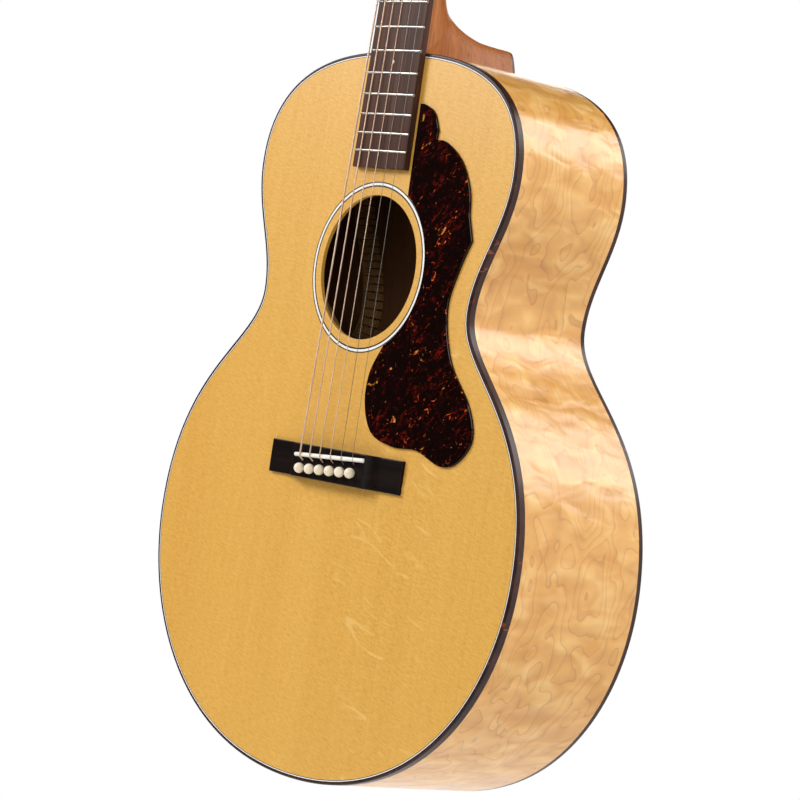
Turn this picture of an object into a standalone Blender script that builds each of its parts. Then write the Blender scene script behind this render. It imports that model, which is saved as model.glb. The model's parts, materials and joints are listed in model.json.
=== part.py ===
"""Flat-top steel-string acoustic guitar, built piece by piece.

Frame: metres, +X to the treble side, +Z up the neck. The front of the soundboard is the
plane y = 0 and the body goes back along +Y. Heights are drawn from the scale line at the
bridge, and the empty "guitar" then moves everything so that the nut, where a hanger holds
the guitar, is the origin.
"""
import math

import bmesh
import bpy
from mathutils import Matrix, Vector

MM = 0.001
GAP = 0.3 * MM                      # clearance between pieces that touch

# ---- scale, neck and fretboard ----------------------------------------------------------
SCALE = 632.5 * MM                  # saddle line to nut
FRETS = 19
NUT_HALF = 21.45 * MM               # half the board's width at the nut
BOARD_TAPER = 0.01597               # growth of that half width, per unit towards the body
BOARD_RADIUS = 406.0 * MM           # radius of the playing surface
BOARD_TOP = 5.6 * MM                # crown of the board above the soundboard
BOARD_END = SCALE * 2 ** (-20 / 12)
FRET_RADIUS = 1.1 * MM
NUT_LENGTH = 4.8 * MM
NECK_DEPTH_NUT = 15.0 * MM
NECK_DEPTH_HEEL = 18.5 * MM
HEEL_CAP_Y = 95.4 * MM              # where the heel's wood ends
HEEL_CAP_HALF = 13.2 * MM
HEEL_REACH = 18.8 * MM              # the heel's length along Z at its cap
HEEL_NARROWING = 0.42               # share of its width that the heel loses from body to nose
CAP_THICKNESS = 2.0 * MM

# ---- body -------------------------------------------------------------------------------
BODY_TOP = 281.5 * MM
UPPER_HALF, UPPER_Z = 137.8 * MM, 200.2 * MM
WAIST_HALF, WAIST_Z = 112.8 * MM, 106.6 * MM
LOWER_HALF, LOWER_Z = 195.9 * MM, -61.5 * MM
BODY_BOTTOM = -230.5 * MM
DEPTH_AT_SCALE_LINE = 114.4 * MM    # body depth at z = 0
DEPTH_SLOPE = -0.0485               # the body gets shallower towards the neck
PLATE = 2.8 * MM                    # soundboard and back
SIDE = 2.3 * MM
BINDING_WIDTH = 1.6 * MM
TOP_BINDING_DEPTH = 5.6 * MM
BACK_BINDING_DEPTH = 4.2 * MM
PURFLING_WIDTH = 2.0 * MM
LINING_WIDTH = 6.5 * MM
LINING_DEPTH = 15.0 * MM
CURVE_STEPS = 9                     # samples on each of the outline's four arcs

HOLE_Z = 130.0 * MM
HOLE_RADIUS = 50.85 * MM
ROSETTE_INNER = 56.7 * MM
ROSETTE_OUTER = 60.3 * MM
ROSETTE_DEPTH = 1.0 * MM
GUARD_THICKNESS = 1.6 * MM

# ---- inside the body --------------------------------------------------------------------
NECK_BLOCK_HALF = 32.0 * MM
NECK_BLOCK_Z = 222.0 * MM
TAIL_BLOCK_HALF = 40.0 * MM
TAIL_BLOCK_Z = -209.0 * MM
TENON_HALF = 10.2 * MM
TENON_Y = 74.0 * MM                 # how far back the tenon reaches
TENON_Z = 262.0 * MM                # how far into the body the tenon reaches
SIDE_START = 11.0 * MM              # the sides stop this far from the centre line, at the tenon
X_CROSS_Z = 44.0 * MM
X_LEAN = math.radians(48)           # each leg of the X, from the neck's direction
X_LEG_DOWN, X_LEG_UP = 226.0 * MM, 142.0 * MM
X_WIDTH, X_HEIGHT = 8.0 * MM, 15.0 * MM
TONE_BARS = [("tone_bar_upper", (92 * MM, -52 * MM), (-122 * MM, -112 * MM), 12 * MM),
             ("tone_bar_lower", (112 * MM, -98 * MM), (-84 * MM, -160 * MM), 11 * MM)]
TONE_BAR_WIDTH = 7.0 * MM
TRANSVERSE_BRACE = (203 * MM, 16 * MM)                                  # place and height
BACK_BRACES = [(196 * MM, 13 * MM), (86 * MM, 13 * MM), (-48 * MM, 16 * MM), (-150 * MM, 16 * MM)]
BRIDGE_PLATE = [(-34 * MM, 6 * MM), (34 * MM, 6 * MM), (66 * MM, -28 * MM), (-66 * MM, -28 * MM)]
BRIDGE_PLATE_THICKNESS = 2.5 * MM
TRUSS_HALF, TRUSS_DEPTH = 3.0 * MM, 9.2 * MM

# ---- bridge and strings -----------------------------------------------------------------
BRIDGE_HALF = 72.0 * MM
BRIDGE_UPPER_Z, BRIDGE_LOWER_Z = 1.1 * MM, -22.4 * MM
BRIDGE_HEIGHT = 8.5 * MM
BRIDGE_WING = 2.6 * MM
BRIDGE_CENTRE_HALF = 39.0 * MM
BRIDGE_RAMP = 13.0 * MM
SADDLE_HALF = 38.7 * MM
SADDLE_THICKNESS = 3.0 * MM
SADDLE_Z = -5.05 * MM               # on the centre line; the saddle is slanted
SLANT = 0.0503
PIN_Z = -14.6 * MM
PIN_SPACING = 11.08 * MM
PIN_HEAD = 3.7 * MM
PIN_TOP = 2.65 * MM
PIN_TIP = 2.25 * MM
PIN_LENGTH = 25.0 * MM
STRING_DIAMETERS = [1.35 * MM, 1.07 * MM, 0.81 * MM, 0.61 * MM, 0.43 * MM, 0.33 * MM]
SADDLE_SPREAD = 11.5 * MM
NUT_SPREAD = 7.2 * MM
STRING_AT_SADDLE = 12.2 * MM        # height of the middle strings' axes above the soundboard
STRING_AT_NUT = 7.3 * MM

# ---- head and tuners --------------------------------------------------------------------
HEAD_TILT = math.radians(-15)
HEAD_START = SCALE + NUT_LENGTH + 2 * GAP
HEAD_SHOULDER, HEAD_ARCH = 158.0 * MM, 10.0 * MM    # the sides' length and the top's rise
HEAD_TOP_HALF = 36.2 * MM
HEAD_THICKNESS = 14.5 * MM
HEAD_PLATE = 1.7 * MM
POST_X = 22.0 * MM
POST_Z = [42.0 * MM, 82.0 * MM, 122.0 * MM]
POST_RADIUS = 3.0 * MM
POST_STRING_Y = -8.0 * MM
GEAR_RADIUS = 5.5 * MM
GEAR_TEETH = 14
WORM_OFFSET = 8.2 * MM              # worm axis to post axis
WORM_Y = 18.4 * MM
PLATE_FRONT, PLATE_BACK = HEAD_THICKNESS + GAP, HEAD_THICKNESS + GAP + 1.2 * MM

COLOURS = {
    "spruce": ((0.72, 0.45, 0.17), 0.30, 0.0),
    "maple": ((0.80, 0.56, 0.30), 0.28, 0.0),
    "mahogany": ((0.33, 0.13, 0.05), 0.42, 0.0),
    "rosewood": ((0.06, 0.03, 0.025), 0.45, 0.0),
    "ebony": ((0.02, 0.015, 0.013), 0.45, 0.0),
    "spruce_brace": ((0.60, 0.43, 0.22), 0.70, 0.0),
    "tortoise": ((0.05, 0.01, 0.008), 0.12, 0.0),
    "binding": ((0.07, 0.025, 0.018), 0.20, 0.0),
    "ivory": ((0.85, 0.80, 0.68), 0.30, 0.0),
    "bone": ((0.88, 0.86, 0.80), 0.35, 0.0),
    "nickel": ((0.62, 0.60, 0.56), 0.25, 1.0),
    "steel": ((0.45, 0.45, 0.46), 0.35, 1.0),
    "bronze": ((0.75, 0.45, 0.28), 0.30, 1.0),
}


def clear_scene():
    for obj in list(bpy.data.objects):
        bpy.data.objects.remove(obj, do_unlink=True)


def make_collection(name):
    collection = bpy.data.collections.new(name)
    bpy.context.scene.collection.children.link(collection)
    return collection


def material(name):
    found = bpy.data.materials.get(name)
    if found:
        return found
    colour, roughness, metallic = COLOURS[name]
    made = bpy.data.materials.new(name)
    made.use_nodes = True
    shader = made.node_tree.nodes["Principled BSDF"]
    shader.inputs["Base Color"].default_value = (*colour, 1)
    shader.inputs["Roughness"].default_value = roughness
    shader.inputs["Metallic"].default_value = metallic
    return made


def add_object(name, data, collection, finish=None, parent=None):
    obj = bpy.data.objects.new(name, data)
    collection.objects.link(obj)
    obj.parent = parent
    if finish:
        data.materials.clear()
        data.materials.append(material(finish))
    if collection == CUTTERS:
        obj.hide_render = True
        obj.display_type = "WIRE"
    return obj


def evaluated_mesh(obj):
    bpy.context.view_layer.update()
    graph = bpy.context.evaluated_depsgraph_get()
    return bpy.data.meshes.new_from_object(obj.evaluated_get(graph))


def bake(obj):
    """Turn an object's modifiers into its mesh, so that copies can share it."""
    mesh = evaluated_mesh(obj)
    obj.modifiers.clear()
    obj.data = mesh
    return obj


def boolean(obj, cutter, operation="DIFFERENCE"):
    modifier = obj.modifiers.new(operation.lower() + "_" + cutter.name, "BOOLEAN")
    modifier.operation = operation
    modifier.solver = "EXACT"
    modifier.object = cutter


def face_out(work):
    bmesh.ops.recalc_face_normals(work, faces=work.faces)
    if work.calc_volume(signed=True) < 0:
        bmesh.ops.reverse_faces(work, faces=work.faces)


def smooth_shade(obj, angle=35):
    obj.data.shade_smooth()
    obj.data.set_sharp_from_angle(angle=math.radians(angle))


# ---- shapes drawn in the plane of the soundboard ----------------------------------------
def slab(name, loops, front, back, collection, finish=None, parent=None):
    """A flat outline in (x, z), between two surfaces y = front(x, z) and y = back(x, z)."""
    curve = bpy.data.curves.new(name + "_outline", "CURVE")
    curve.dimensions = "2D"
    curve.fill_mode = "BOTH"
    curve.extrude = 0.5
    for loop in loops:
        spline = curve.splines.new("POLY")
        spline.points.add(len(loop) - 1)
        for point, (x, z) in zip(spline.points, loop):
            point.co = (x, z, 0, 1)
        spline.use_cyclic_u = True
    drawn = bpy.data.objects.new(name + "_outline", curve)
    CUTTERS.objects.link(drawn)
    mesh = evaluated_mesh(drawn)
    bpy.data.objects.remove(drawn)
    mesh.name = name
    work = bmesh.new()
    work.from_mesh(mesh)
    bmesh.ops.remove_doubles(work, verts=work.verts, dist=0.000001)
    for vert in work.verts:
        x, z, share = vert.co.x, vert.co.y, 0.5 - vert.co.z
        vert.co = (x, front(x, z) + share * (back(x, z) - front(x, z)), z)
    face_out(work)
    work.to_mesh(mesh)
    work.free()
    return add_object(name, mesh, collection, finish, parent)


def level(value):
    return lambda x, z: value


def back_plane(x, z):
    """The outer face of the back, at height z."""
    return DEPTH_AT_SCALE_LINE + DEPTH_SLOPE * z


def before_back(distance):
    return lambda x, z: back_plane(x, z) - distance


def bezier(a, b, c, d, steps):
    for step in range(steps):
        t = step / steps
        s = 1 - t
        yield tuple(s ** 3 * a[k] + 3 * s * s * t * b[k] + 3 * s * t * t * c[k] + t ** 3 * d[k]
                    for k in (0, 1))


def half_outline():
    """The body's treble half, from the top centre down to the bottom centre."""
    upper = (UPPER_HALF, UPPER_Z)
    waist = (WAIST_HALF, WAIST_Z)
    lower = (LOWER_HALF, LOWER_Z)
    arcs = [
        ((0, BODY_TOP), (19 * MM, BODY_TOP), (UPPER_HALF, UPPER_Z + 88 * MM), upper),
        (upper, (UPPER_HALF, UPPER_Z - 36.8 * MM), (WAIST_HALF, WAIST_Z + 32.7 * MM), waist),
        (waist, (WAIST_HALF, WAIST_Z - 40.3 * MM), (LOWER_HALF, LOWER_Z + 107 * MM), lower),
        (lower, (LOWER_HALF, LOWER_Z - 82.4 * MM), (131.5 * MM, BODY_BOTTOM), (0, BODY_BOTTOM)),
    ]
    points = [point for arc in arcs for point in bezier(*arc, CURVE_STEPS)]
    return points + [(0, BODY_BOTTOM)]


def inset_half(distance):
    """The treble half outline moved inwards."""
    points = half_outline()
    moved = []
    for i, (x, z) in enumerate(points):
        before = points[i - 1] if i else (-points[1][0], points[1][1])
        after = points[i + 1] if i + 1 < len(points) else (-points[-2][0], points[-2][1])
        run = Vector((after[0] - before[0], after[1] - before[1])).normalized()
        moved.append((x + run.y * distance, z - run.x * distance))
    moved[0] = (0, moved[0][1])
    moved[-1] = (0, moved[-1][1])
    return moved


def whole_outline(distance):
    half = inset_half(distance)
    return half + [(-x, z) for x, z in reversed(half[1:-1])]


def clip_half(points, x_top, x_bottom):
    """The half outline without the stretches nearer the centre line than the two limits."""
    middle = len(points) // 2

    def cut(run, limit):
        kept = [point for point in run if point[0] > limit]
        first = len(run) - len(kept)
        (xa, za), (xb, zb) = run[first - 1], run[first]
        share = (limit - xa) / (xb - xa)
        return [(limit, za + share * (zb - za))] + kept

    head = cut(points[:middle], x_top)
    tail = cut(list(reversed(points[middle:])), x_bottom)
    return head + list(reversed(tail))


def half_width(z, distance):
    """Half the width at height z, of the outline moved in by a distance."""
    points = inset_half(distance)
    for (xa, za), (xb, zb) in zip(points[1:], points[2:]):
        if zb <= z <= za:
            return xa + (xb - xa) * (za - z) / (za - zb)


def side_strip(outer, inner, x_top, x_bottom, side=1):
    """A strip that follows one side of the body, between two insets."""
    edge = clip_half(inset_half(outer), x_top, x_bottom)
    back = clip_half(inset_half(inner), x_top, x_bottom)
    return [(side * x, z) for x, z in edge + list(reversed(back))]


def circle(radius, steps=40, centre=(0, HOLE_Z)):
    turn = 2 * math.pi / steps
    return [(centre[0] + radius * math.cos(i * turn), centre[1] + radius * math.sin(i * turn))
            for i in range(steps)]


def smooth_run(points, steps=3):
    """Catmull-Rom curve through the points, without its last point."""
    path = [Vector(point) for point in points]
    path = [2 * path[0] - path[1]] + path + [2 * path[-1] - path[-2]]
    made = []
    for a, b, c, d in zip(path, path[1:], path[2:], path[3:]):
        for step in range(steps):
            t = step / steps
            spot = (2 * b + (c - a) * t + (2 * a - 5 * b + 4 * c - d) * t * t
                    + (3 * b - a - 3 * c + d) * t ** 3) / 2
            made.append(tuple(spot))
    return made


# ---- solids from primitives -------------------------------------------------------------
def box(name, low, high, collection, finish=None, parent=None):
    mesh = bpy.data.meshes.new(name)
    work = bmesh.new()
    bmesh.ops.create_cube(work, size=1)
    middle = (Vector(low) + Vector(high)) / 2
    size = Vector(high) - Vector(low)
    bmesh.ops.scale(work, vec=size, verts=work.verts)
    bmesh.ops.translate(work, vec=middle, verts=work.verts)
    work.to_mesh(mesh)
    work.free()
    return add_object(name, mesh, collection, finish, parent)


def rod(name, start, end, radius, collection, end_radius=None, sides=12, parent=None):
    """A cylinder or a cone from one point to another."""
    start, end = Vector(start), Vector(end)
    mesh = bpy.data.meshes.new(name)
    work = bmesh.new()
    bmesh.ops.create_cone(work, cap_ends=True, segments=sides, radius1=radius,
                          radius2=radius if end_radius is None else end_radius,
                          depth=(end - start).length)
    aim = (end - start).to_track_quat("Z", "Y").to_matrix().to_4x4()
    aim = aim @ Matrix.Rotation(math.pi / sides, 4, "Z")
    bmesh.ops.transform(work, matrix=Matrix.Translation((start + end) / 2) @ aim,
                        verts=work.verts)
    work.to_mesh(mesh)
    work.free()
    return add_object(name, mesh, collection, None, parent)


def join(name, pieces, collection):
    """Several separate solids as one object, for use as a cutter."""
    work = bmesh.new()
    for piece in pieces:
        work.from_mesh(piece.data)
        bpy.data.objects.remove(piece)
    mesh = bpy.data.meshes.new(name)
    work.to_mesh(mesh)
    work.free()
    return add_object(name, mesh, collection)


def turned(name, profile, collection, finish=None, parent=None, steps=12):
    """A Screw modifier on a profile of (radius, height), run down its outer side."""
    mesh = bpy.data.meshes.new(name)
    points = [(radius, 0, height) for radius, height in profile]
    edges = [(i, i + 1) for i in range(len(points) - 1)]
    mesh.from_pydata(points, edges, [])
    obj = add_object(name, mesh, collection, finish, parent)
    screw = obj.modifiers.new("turn", "SCREW")
    screw.steps = steps
    screw.render_steps = steps
    screw.use_merge_vertices = True
    screw.merge_threshold = 0.00001
    return obj


def tube(name, points, radius, collection, finish=None, parent=None, resolution=2):
    curve = bpy.data.curves.new(name, "CURVE")
    curve.dimensions = "3D"
    curve.bevel_depth = radius
    curve.bevel_resolution = resolution
    curve.use_fill_caps = True
    spline = curve.splines.new("POLY")
    spline.points.add(len(points) - 1)
    for point, place in zip(spline.points, points):
        point.co = (*place, 1)
    return add_object(name, curve, collection, finish, parent)


def mesh_from_curve(obj, finish=None):
    mesh = evaluated_mesh(obj)
    work = bmesh.new()
    work.from_mesh(mesh)
    bmesh.ops.remove_doubles(work, verts=work.verts, dist=0.000001)
    work.to_mesh(mesh)
    work.free()
    made = add_object(obj.name + "_mesh", mesh, obj.users_collection[0], finish, obj.parent)
    made.matrix_world = obj.matrix_world
    bpy.data.objects.remove(obj)
    return made


def skin(name, rings, collection, finish=None, parent=None):
    """A loft through rings that have the same number of points, closed at both ends."""
    mesh = bpy.data.meshes.new(name)
    work = bmesh.new()
    rows = [[work.verts.new(point) for point in ring] for ring in rings]
    count = len(rows[0])
    for row, following in zip(rows, rows[1:]):
        for i in range(count):
            after = (i + 1) % count
            work.faces.new((row[i], row[after], following[after], following[i]))
    work.faces.new(list(reversed(rows[0])))
    work.faces.new(rows[-1])
    bmesh.ops.triangulate(work, faces=work.faces)
    face_out(work)
    work.to_mesh(mesh)
    work.free()
    return add_object(name, mesh, collection, finish, parent)


# ---- body -------------------------------------------------------------------------------
def make_plates():
    edge = BINDING_WIDTH + GAP
    top_edge = edge + PURFLING_WIDTH + GAP
    top = slab("soundboard", [whole_outline(top_edge), circle(HOLE_RADIUS)],
               level(0), level(PLATE), PARTS, "spruce", GUITAR)
    channel = slab("rosette_channel", [circle(ROSETTE_OUTER + GAP), circle(ROSETTE_INNER - GAP)],
                   level(-1 * MM), level(ROSETTE_DEPTH + GAP), CUTTERS, parent=GUITAR)
    boolean(top, channel)
    back = slab("back_plate", [whole_outline(edge)], before_back(PLATE), back_plane,
                PARTS, "maple", GUITAR)
    return top, back


def make_sides():
    """Two bent sides that meet at the tail; the neck's tenon passes between their tops."""
    for name, side in (("side_bass", -1), ("side_treble", 1)):
        strip = side_strip(0, SIDE, SIDE_START, GAP / 2, side)
        slab(name, [strip], level(TOP_BINDING_DEPTH + GAP),
             before_back(BACK_BINDING_DEPTH + GAP), PARTS, "maple", GUITAR)


def make_edges():
    slab("binding_top", [whole_outline(0), whole_outline(BINDING_WIDTH)],
         level(0), level(TOP_BINDING_DEPTH), PARTS, "binding", GUITAR)
    slab("purfling_top", [whole_outline(BINDING_WIDTH + GAP),
                          whole_outline(BINDING_WIDTH + GAP + PURFLING_WIDTH)],
         level(0), level(PLATE), PARTS, "ivory", GUITAR)
    slab("binding_back", [whole_outline(0), whole_outline(BINDING_WIDTH)],
         before_back(BACK_BINDING_DEPTH), back_plane, PARTS, "binding", GUITAR)


def make_linings():
    start, stop = SIDE + GAP, SIDE + GAP + LINING_WIDTH
    inside = PLATE + GAP
    for word, side in (("bass", -1), ("treble", 1)):
        strip = side_strip(start, stop, NECK_BLOCK_HALF + GAP, TAIL_BLOCK_HALF + GAP, side)
        slab("lining_top_" + word, [strip], level(inside), level(inside + LINING_DEPTH),
             PARTS, "spruce_brace", GUITAR)
        slab("lining_back_" + word, [strip], before_back(inside + LINING_DEPTH),
             before_back(inside), PARTS, "spruce_brace", GUITAR)


def make_blocks():
    inside = PLATE + GAP
    edge = inset_half(SIDE + GAP)
    trimmed = clip_half(edge, NECK_BLOCK_HALF, TAIL_BLOCK_HALF)
    top_z, bottom_z = trimmed[0][1], trimmed[-1][1]
    outline = [(NECK_BLOCK_HALF, top_z), (NECK_BLOCK_HALF, NECK_BLOCK_Z),
               (-NECK_BLOCK_HALF, NECK_BLOCK_Z), (-NECK_BLOCK_HALF, top_z)]
    neck_block = slab("neck_block", [outline], level(inside), before_back(inside),
                      PARTS, "mahogany", GUITAR)
    mortise = box("mortise", (-TENON_HALF - GAP, -5 * MM, TENON_Z - GAP),
                  (TENON_HALF + GAP, TENON_Y + GAP, BODY_TOP + 5 * MM), CUTTERS, parent=GUITAR)
    boolean(neck_block, mortise)
    outline = [(-TAIL_BLOCK_HALF, TAIL_BLOCK_Z), (-TAIL_BLOCK_HALF, bottom_z), edge[-1],
               (TAIL_BLOCK_HALF, bottom_z), (TAIL_BLOCK_HALF, TAIL_BLOCK_Z)]
    slab("tail_block", [outline], level(inside), before_back(inside), PARTS, "mahogany", GUITAR)


def brace(name, start, end, width, height, on_back=False):
    """A glued bar with tapered ends, on the inside of the soundboard or of the back."""
    start, end = Vector(start), Vector(end)
    length = (end - start).length
    run = (end - start) / length
    across = Vector((-run.y, run.x)) * width / 2
    stations = [0, 0.12, 0.3, 0.5, 0.7, 0.88, 1]
    inside = PLATE + GAP
    rings = []
    for share in stations:
        tall = height * min(1.0, 0.28 + min(share, 1 - share) * 6)
        ring = []
        for edge, raised in ((across, False), (-across, False), (-across, True), (across, True)):
            x, z = start + run * length * share + edge
            depth = inside + (tall if raised else 0)
            ring.append((x, back_plane(x, z) - depth if on_back else depth, z))
        rings.append(ring)
    return skin(name, rings, PARTS, "spruce_brace", GUITAR)


def make_braces():
    """The two legs of the X are half lapped where they cross."""
    for name, side in (("x_brace_bass", -1), ("x_brace_treble", 1)):
        run = Vector((side * math.sin(X_LEAN), math.cos(X_LEAN)))
        cross = Vector((0, X_CROSS_Z))
        leg = brace(name, cross - run * X_LEG_DOWN, cross + run * X_LEG_UP, X_WIDTH, X_HEIGHT)
        middle = PLATE + GAP + X_HEIGHT / 2
        notch_half = X_WIDTH / 2 + GAP
        low, high = (middle - GAP / 2, 30 * MM) if side < 0 else (-5 * MM, middle + GAP / 2)
        notch = box(name + "_notch", (-notch_half, low, -2 * X_WIDTH),
                    (notch_half, high, 2 * X_WIDTH), CUTTERS, parent=GUITAR)
        notch.location = (0, 0, X_CROSS_Z)
        notch.rotation_euler.y = -side * X_LEAN
        boolean(leg, notch)
    for name, start, end, height in TONE_BARS:
        brace(name, start, end, TONE_BAR_WIDTH, height)
    rows = [("transverse_brace", *TRANSVERSE_BRACE, False)]
    for i, (z, height) in enumerate(BACK_BRACES):
        rows.append(("back_brace_%d" % (i + 1), z, height, True))
    width = X_WIDTH
    room = SIDE + GAP + LINING_WIDTH + 1 * MM
    for name, z, height, on_back in rows:
        half = min(half_width(z + width / 2, room), half_width(z - width / 2, room))
        brace(name, (-half, z), (half, z), width, height, on_back)


def make_rosette():
    slab("rosette", [circle(ROSETTE_OUTER), circle(ROSETTE_INNER)],
         level(0), level(ROSETTE_DEPTH), PARTS, "ivory", GUITAR)


def make_pickguard():
    """Scalloped guard: two lobes beside the board, a point, and a foot below the hole."""
    lobes = [(31.2, 246), (37, 245.6), (47.4, 240.2), (54.4, 228)]
    shoulder = [(53.4, 221.8), (65, 220.3), (83.2, 208.3), (95.6, 189), (99.8, 169)]
    foot = [(105.9, 154.6), (97.2, 133.5), (91.5, 107), (103, 73), (128, 44.6), (136.2, 22),
            (123.6, 5.2), (107, 1.9), (82, 9.5), (57, 9.3), (32.5, 16.2), (21, 35.5),
            (20.8, 57), (30.6, 77)]
    outline = smooth_run(lobes) + [lobes[-1]] + smooth_run(shoulder) + smooth_run(foot)
    outline = [(x * MM, z * MM) for x, z in outline]
    radius = ROSETTE_OUTER + 0.8 * MM
    first, last, steps = math.radians(-59.5), math.radians(57.8), 14
    for i in range(steps + 1):
        angle = first + (last - first) * i / steps
        outline.append((radius * math.cos(angle), HOLE_Z + radius * math.sin(angle)))
    slab("pickguard", [outline], level(-GUARD_THICKNESS), level(-GAP), PARTS, "tortoise", GUITAR)


# ---- bridge -----------------------------------------------------------------------------
def pin_place(i):
    x = (i - 2.5) * PIN_SPACING
    return x, PIN_Z + SLANT * x


def crown_drop(x):
    """How far the playing surface falls away from its crown at x."""
    return x * x / (2 * BOARD_RADIUS)


def string_route(i):
    """From inside the body, up the pin hole, over saddle and nut, to the tuner post."""
    radius = STRING_DIAMETERS[i] / 2
    pin_x, pin_z = pin_place(i)
    rise_z = pin_z + PIN_TOP + GAP + radius + 0.1 * MM
    saddle_x = (i - 2.5) * SADDLE_SPREAD
    height = STRING_AT_SADDLE - crown_drop(saddle_x)
    bend = SADDLE_THICKNESS / 2 + GAP + radius
    centre_z = SADDLE_Z + SLANT * saddle_x
    points = [Vector((pin_x, 14 * MM, rise_z)), Vector((pin_x, -5.6 * MM, rise_z))]
    for degrees in (48, 24, 0):
        turn = math.radians(degrees)
        points.append(Vector((saddle_x, -height + bend * (1 - math.cos(turn)),
                              centre_z - bend * math.sin(turn))))
    nut_x = (i - 2.5) * NUT_SPREAD
    nut = Vector((nut_x, -STRING_AT_NUT + crown_drop(nut_x), SCALE + 0.8 * MM))
    points.append(nut)
    points.append(post_contact(i, nut, radius))
    return points


def post_contact(i, nut, radius):
    """Where the string meets the inner side of its post, in the guitar's frame."""
    side = -1 if i < 3 else 1
    row = i if i < 3 else 5 - i
    local = HEAD_MATRIX.inverted() @ nut
    start = Vector((local.x, local.z))
    centre = Vector((side * POST_X, POST_Z[row]))
    reach = POST_RADIUS + GAP + radius
    away = centre - start
    swing = math.asin(reach / away.length) * side
    run = away.normalized()
    turned_run = Vector((run.x * math.cos(swing) - run.y * math.sin(swing),
                         run.x * math.sin(swing) + run.y * math.cos(swing)))
    touch = start + turned_run * math.sqrt(away.length ** 2 - reach ** 2)
    return HEAD_MATRIX @ Vector((touch.x, POST_STRING_Y, touch.y))


def make_bridge(soundboard):
    """A rectangular bridge, full height in the middle, scooped down to thin wings."""
    stations = [-BRIDGE_HALF, -BRIDGE_CENTRE_HALF - BRIDGE_RAMP]
    stations += [-BRIDGE_CENTRE_HALF - BRIDGE_RAMP * share for share in (0.75, 0.5, 0.25, 0)]
    stations += [-x for x in reversed(stations)]

    rings = []
    for x in stations:
        share = max(0.0, min(1.0, (abs(x) - BRIDGE_CENTRE_HALF) / BRIDGE_RAMP))
        top = -BRIDGE_WING - (BRIDGE_HEIGHT - BRIDGE_WING) * (1 - share) ** 2.0
        rings.append([(x, -GAP, BRIDGE_UPPER_Z), (x, -GAP, BRIDGE_LOWER_Z),
                      (x, top, BRIDGE_LOWER_Z), (x, top, BRIDGE_UPPER_Z)])
    bridge = skin("bridge", rings, PARTS, "ebony", GUITAR)
    slot = box("saddle_slot", (-SADDLE_HALF - GAP, -20 * MM, -SADDLE_THICKNESS / 2 - GAP),
               (SADDLE_HALF + GAP, -3 * MM, SADDLE_THICKNESS / 2 + GAP), CUTTERS, parent=GUITAR)
    slot.location.z = SADDLE_Z
    slot.rotation_euler.y = -math.atan(SLANT)
    boolean(bridge, slot)
    holes, ways, ramps = [], [], []
    for i in range(6):
        x, z = pin_place(i)
        holes.append(rod("hole", (x, -BRIDGE_HEIGHT - 2 * MM, z), (x, 20 * MM, z),
                         PIN_TOP + GAP, CUTTERS, PIN_TIP + GAP))
        route = string_route(i)
        free = STRING_DIAMETERS[i] / 2 + GAP
        ways.append(box("way", (x - free, -6 * MM, z), (x + free, 16 * MM, route[0].z + free),
                        CUTTERS))
        beyond = route[2] + (route[2] - route[1]) * 0.1
        before = route[1] - (route[2] - route[1]) * 0.2
        ramps.append(rod("ramp", before, beyond, free + 0.15 * MM, CUTTERS, sides=8))
    pin_holes = join("pin_holes", holes, CUTTERS)
    string_ways = join("string_ways", ways, CUTTERS)
    string_ramps = join("string_ramps", ramps, CUTTERS)
    for cutter in (pin_holes, string_ways, string_ramps):
        cutter.parent = GUITAR
    boolean(bridge, string_ramps)
    plate = slab("bridge_plate", [BRIDGE_PLATE], level(PLATE + GAP),
                 level(PLATE + GAP + BRIDGE_PLATE_THICKNESS), PARTS, "maple", GUITAR)
    for piece in (bridge, soundboard, plate):
        boolean(piece, pin_holes)
        boolean(piece, string_ways)
    make_saddle()
    make_pins()


def make_saddle():
    """A bone strip with a half-round crown that follows the board's radius."""
    rings = []
    steps = 8
    for step in range(steps + 1):
        x = SADDLE_HALF * (2 * step / steps - 1)
        string_low = STRING_AT_SADDLE - crown_drop(min(abs(x), 2.5 * SADDLE_SPREAD))
        fall = max(0.0, abs(x) - 2.5 * SADDLE_SPREAD) * 0.12
        crown = string_low - STRING_DIAMETERS[0] / 2 - GAP - fall
        half = SADDLE_THICKNESS / 2
        ring = [(x, -3.4 * MM, -half), (x, -3.4 * MM, half)]
        for k in range(7):
            turn = math.pi * k / 6
            ring.append((x, -crown + half - half * math.sin(turn), half * math.cos(turn)))
        rings.append(ring)
    saddle = skin("saddle", rings, PARTS, "bone", GUITAR)
    saddle.location.z = SADDLE_Z
    saddle.rotation_euler.y = -math.atan(SLANT)


def make_pins():
    head = -BRIDGE_HEIGHT - GAP
    profile = [(0, 4.2 * MM), (2.2 * MM, 3.7 * MM), (3.4 * MM, 2.2 * MM), (PIN_HEAD, 0.8 * MM),
               (PIN_HEAD, 0), (PIN_TOP, 0), (PIN_TIP, -PIN_LENGTH), (0, -PIN_LENGTH - 1 * MM)]
    for i in range(6):
        x, z = pin_place(i)
        pin = turned("bridge_pin_%d" % (i + 1), profile, PARTS, "ivory", GUITAR)
        pin.location = (x, head, z)
        pin.rotation_euler.x = math.pi / 2


def make_strings():
    for i, diameter in enumerate(STRING_DIAMETERS):
        finish = "bronze" if i < 4 else "steel"
        tube("string_%d" % (6 - i), string_route(i), diameter / 2, PARTS, finish, GUITAR, 1)


# ---- neck -------------------------------------------------------------------------------
def board_half(z):
    return NUT_HALF + BOARD_TAPER * (SCALE - z)


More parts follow.
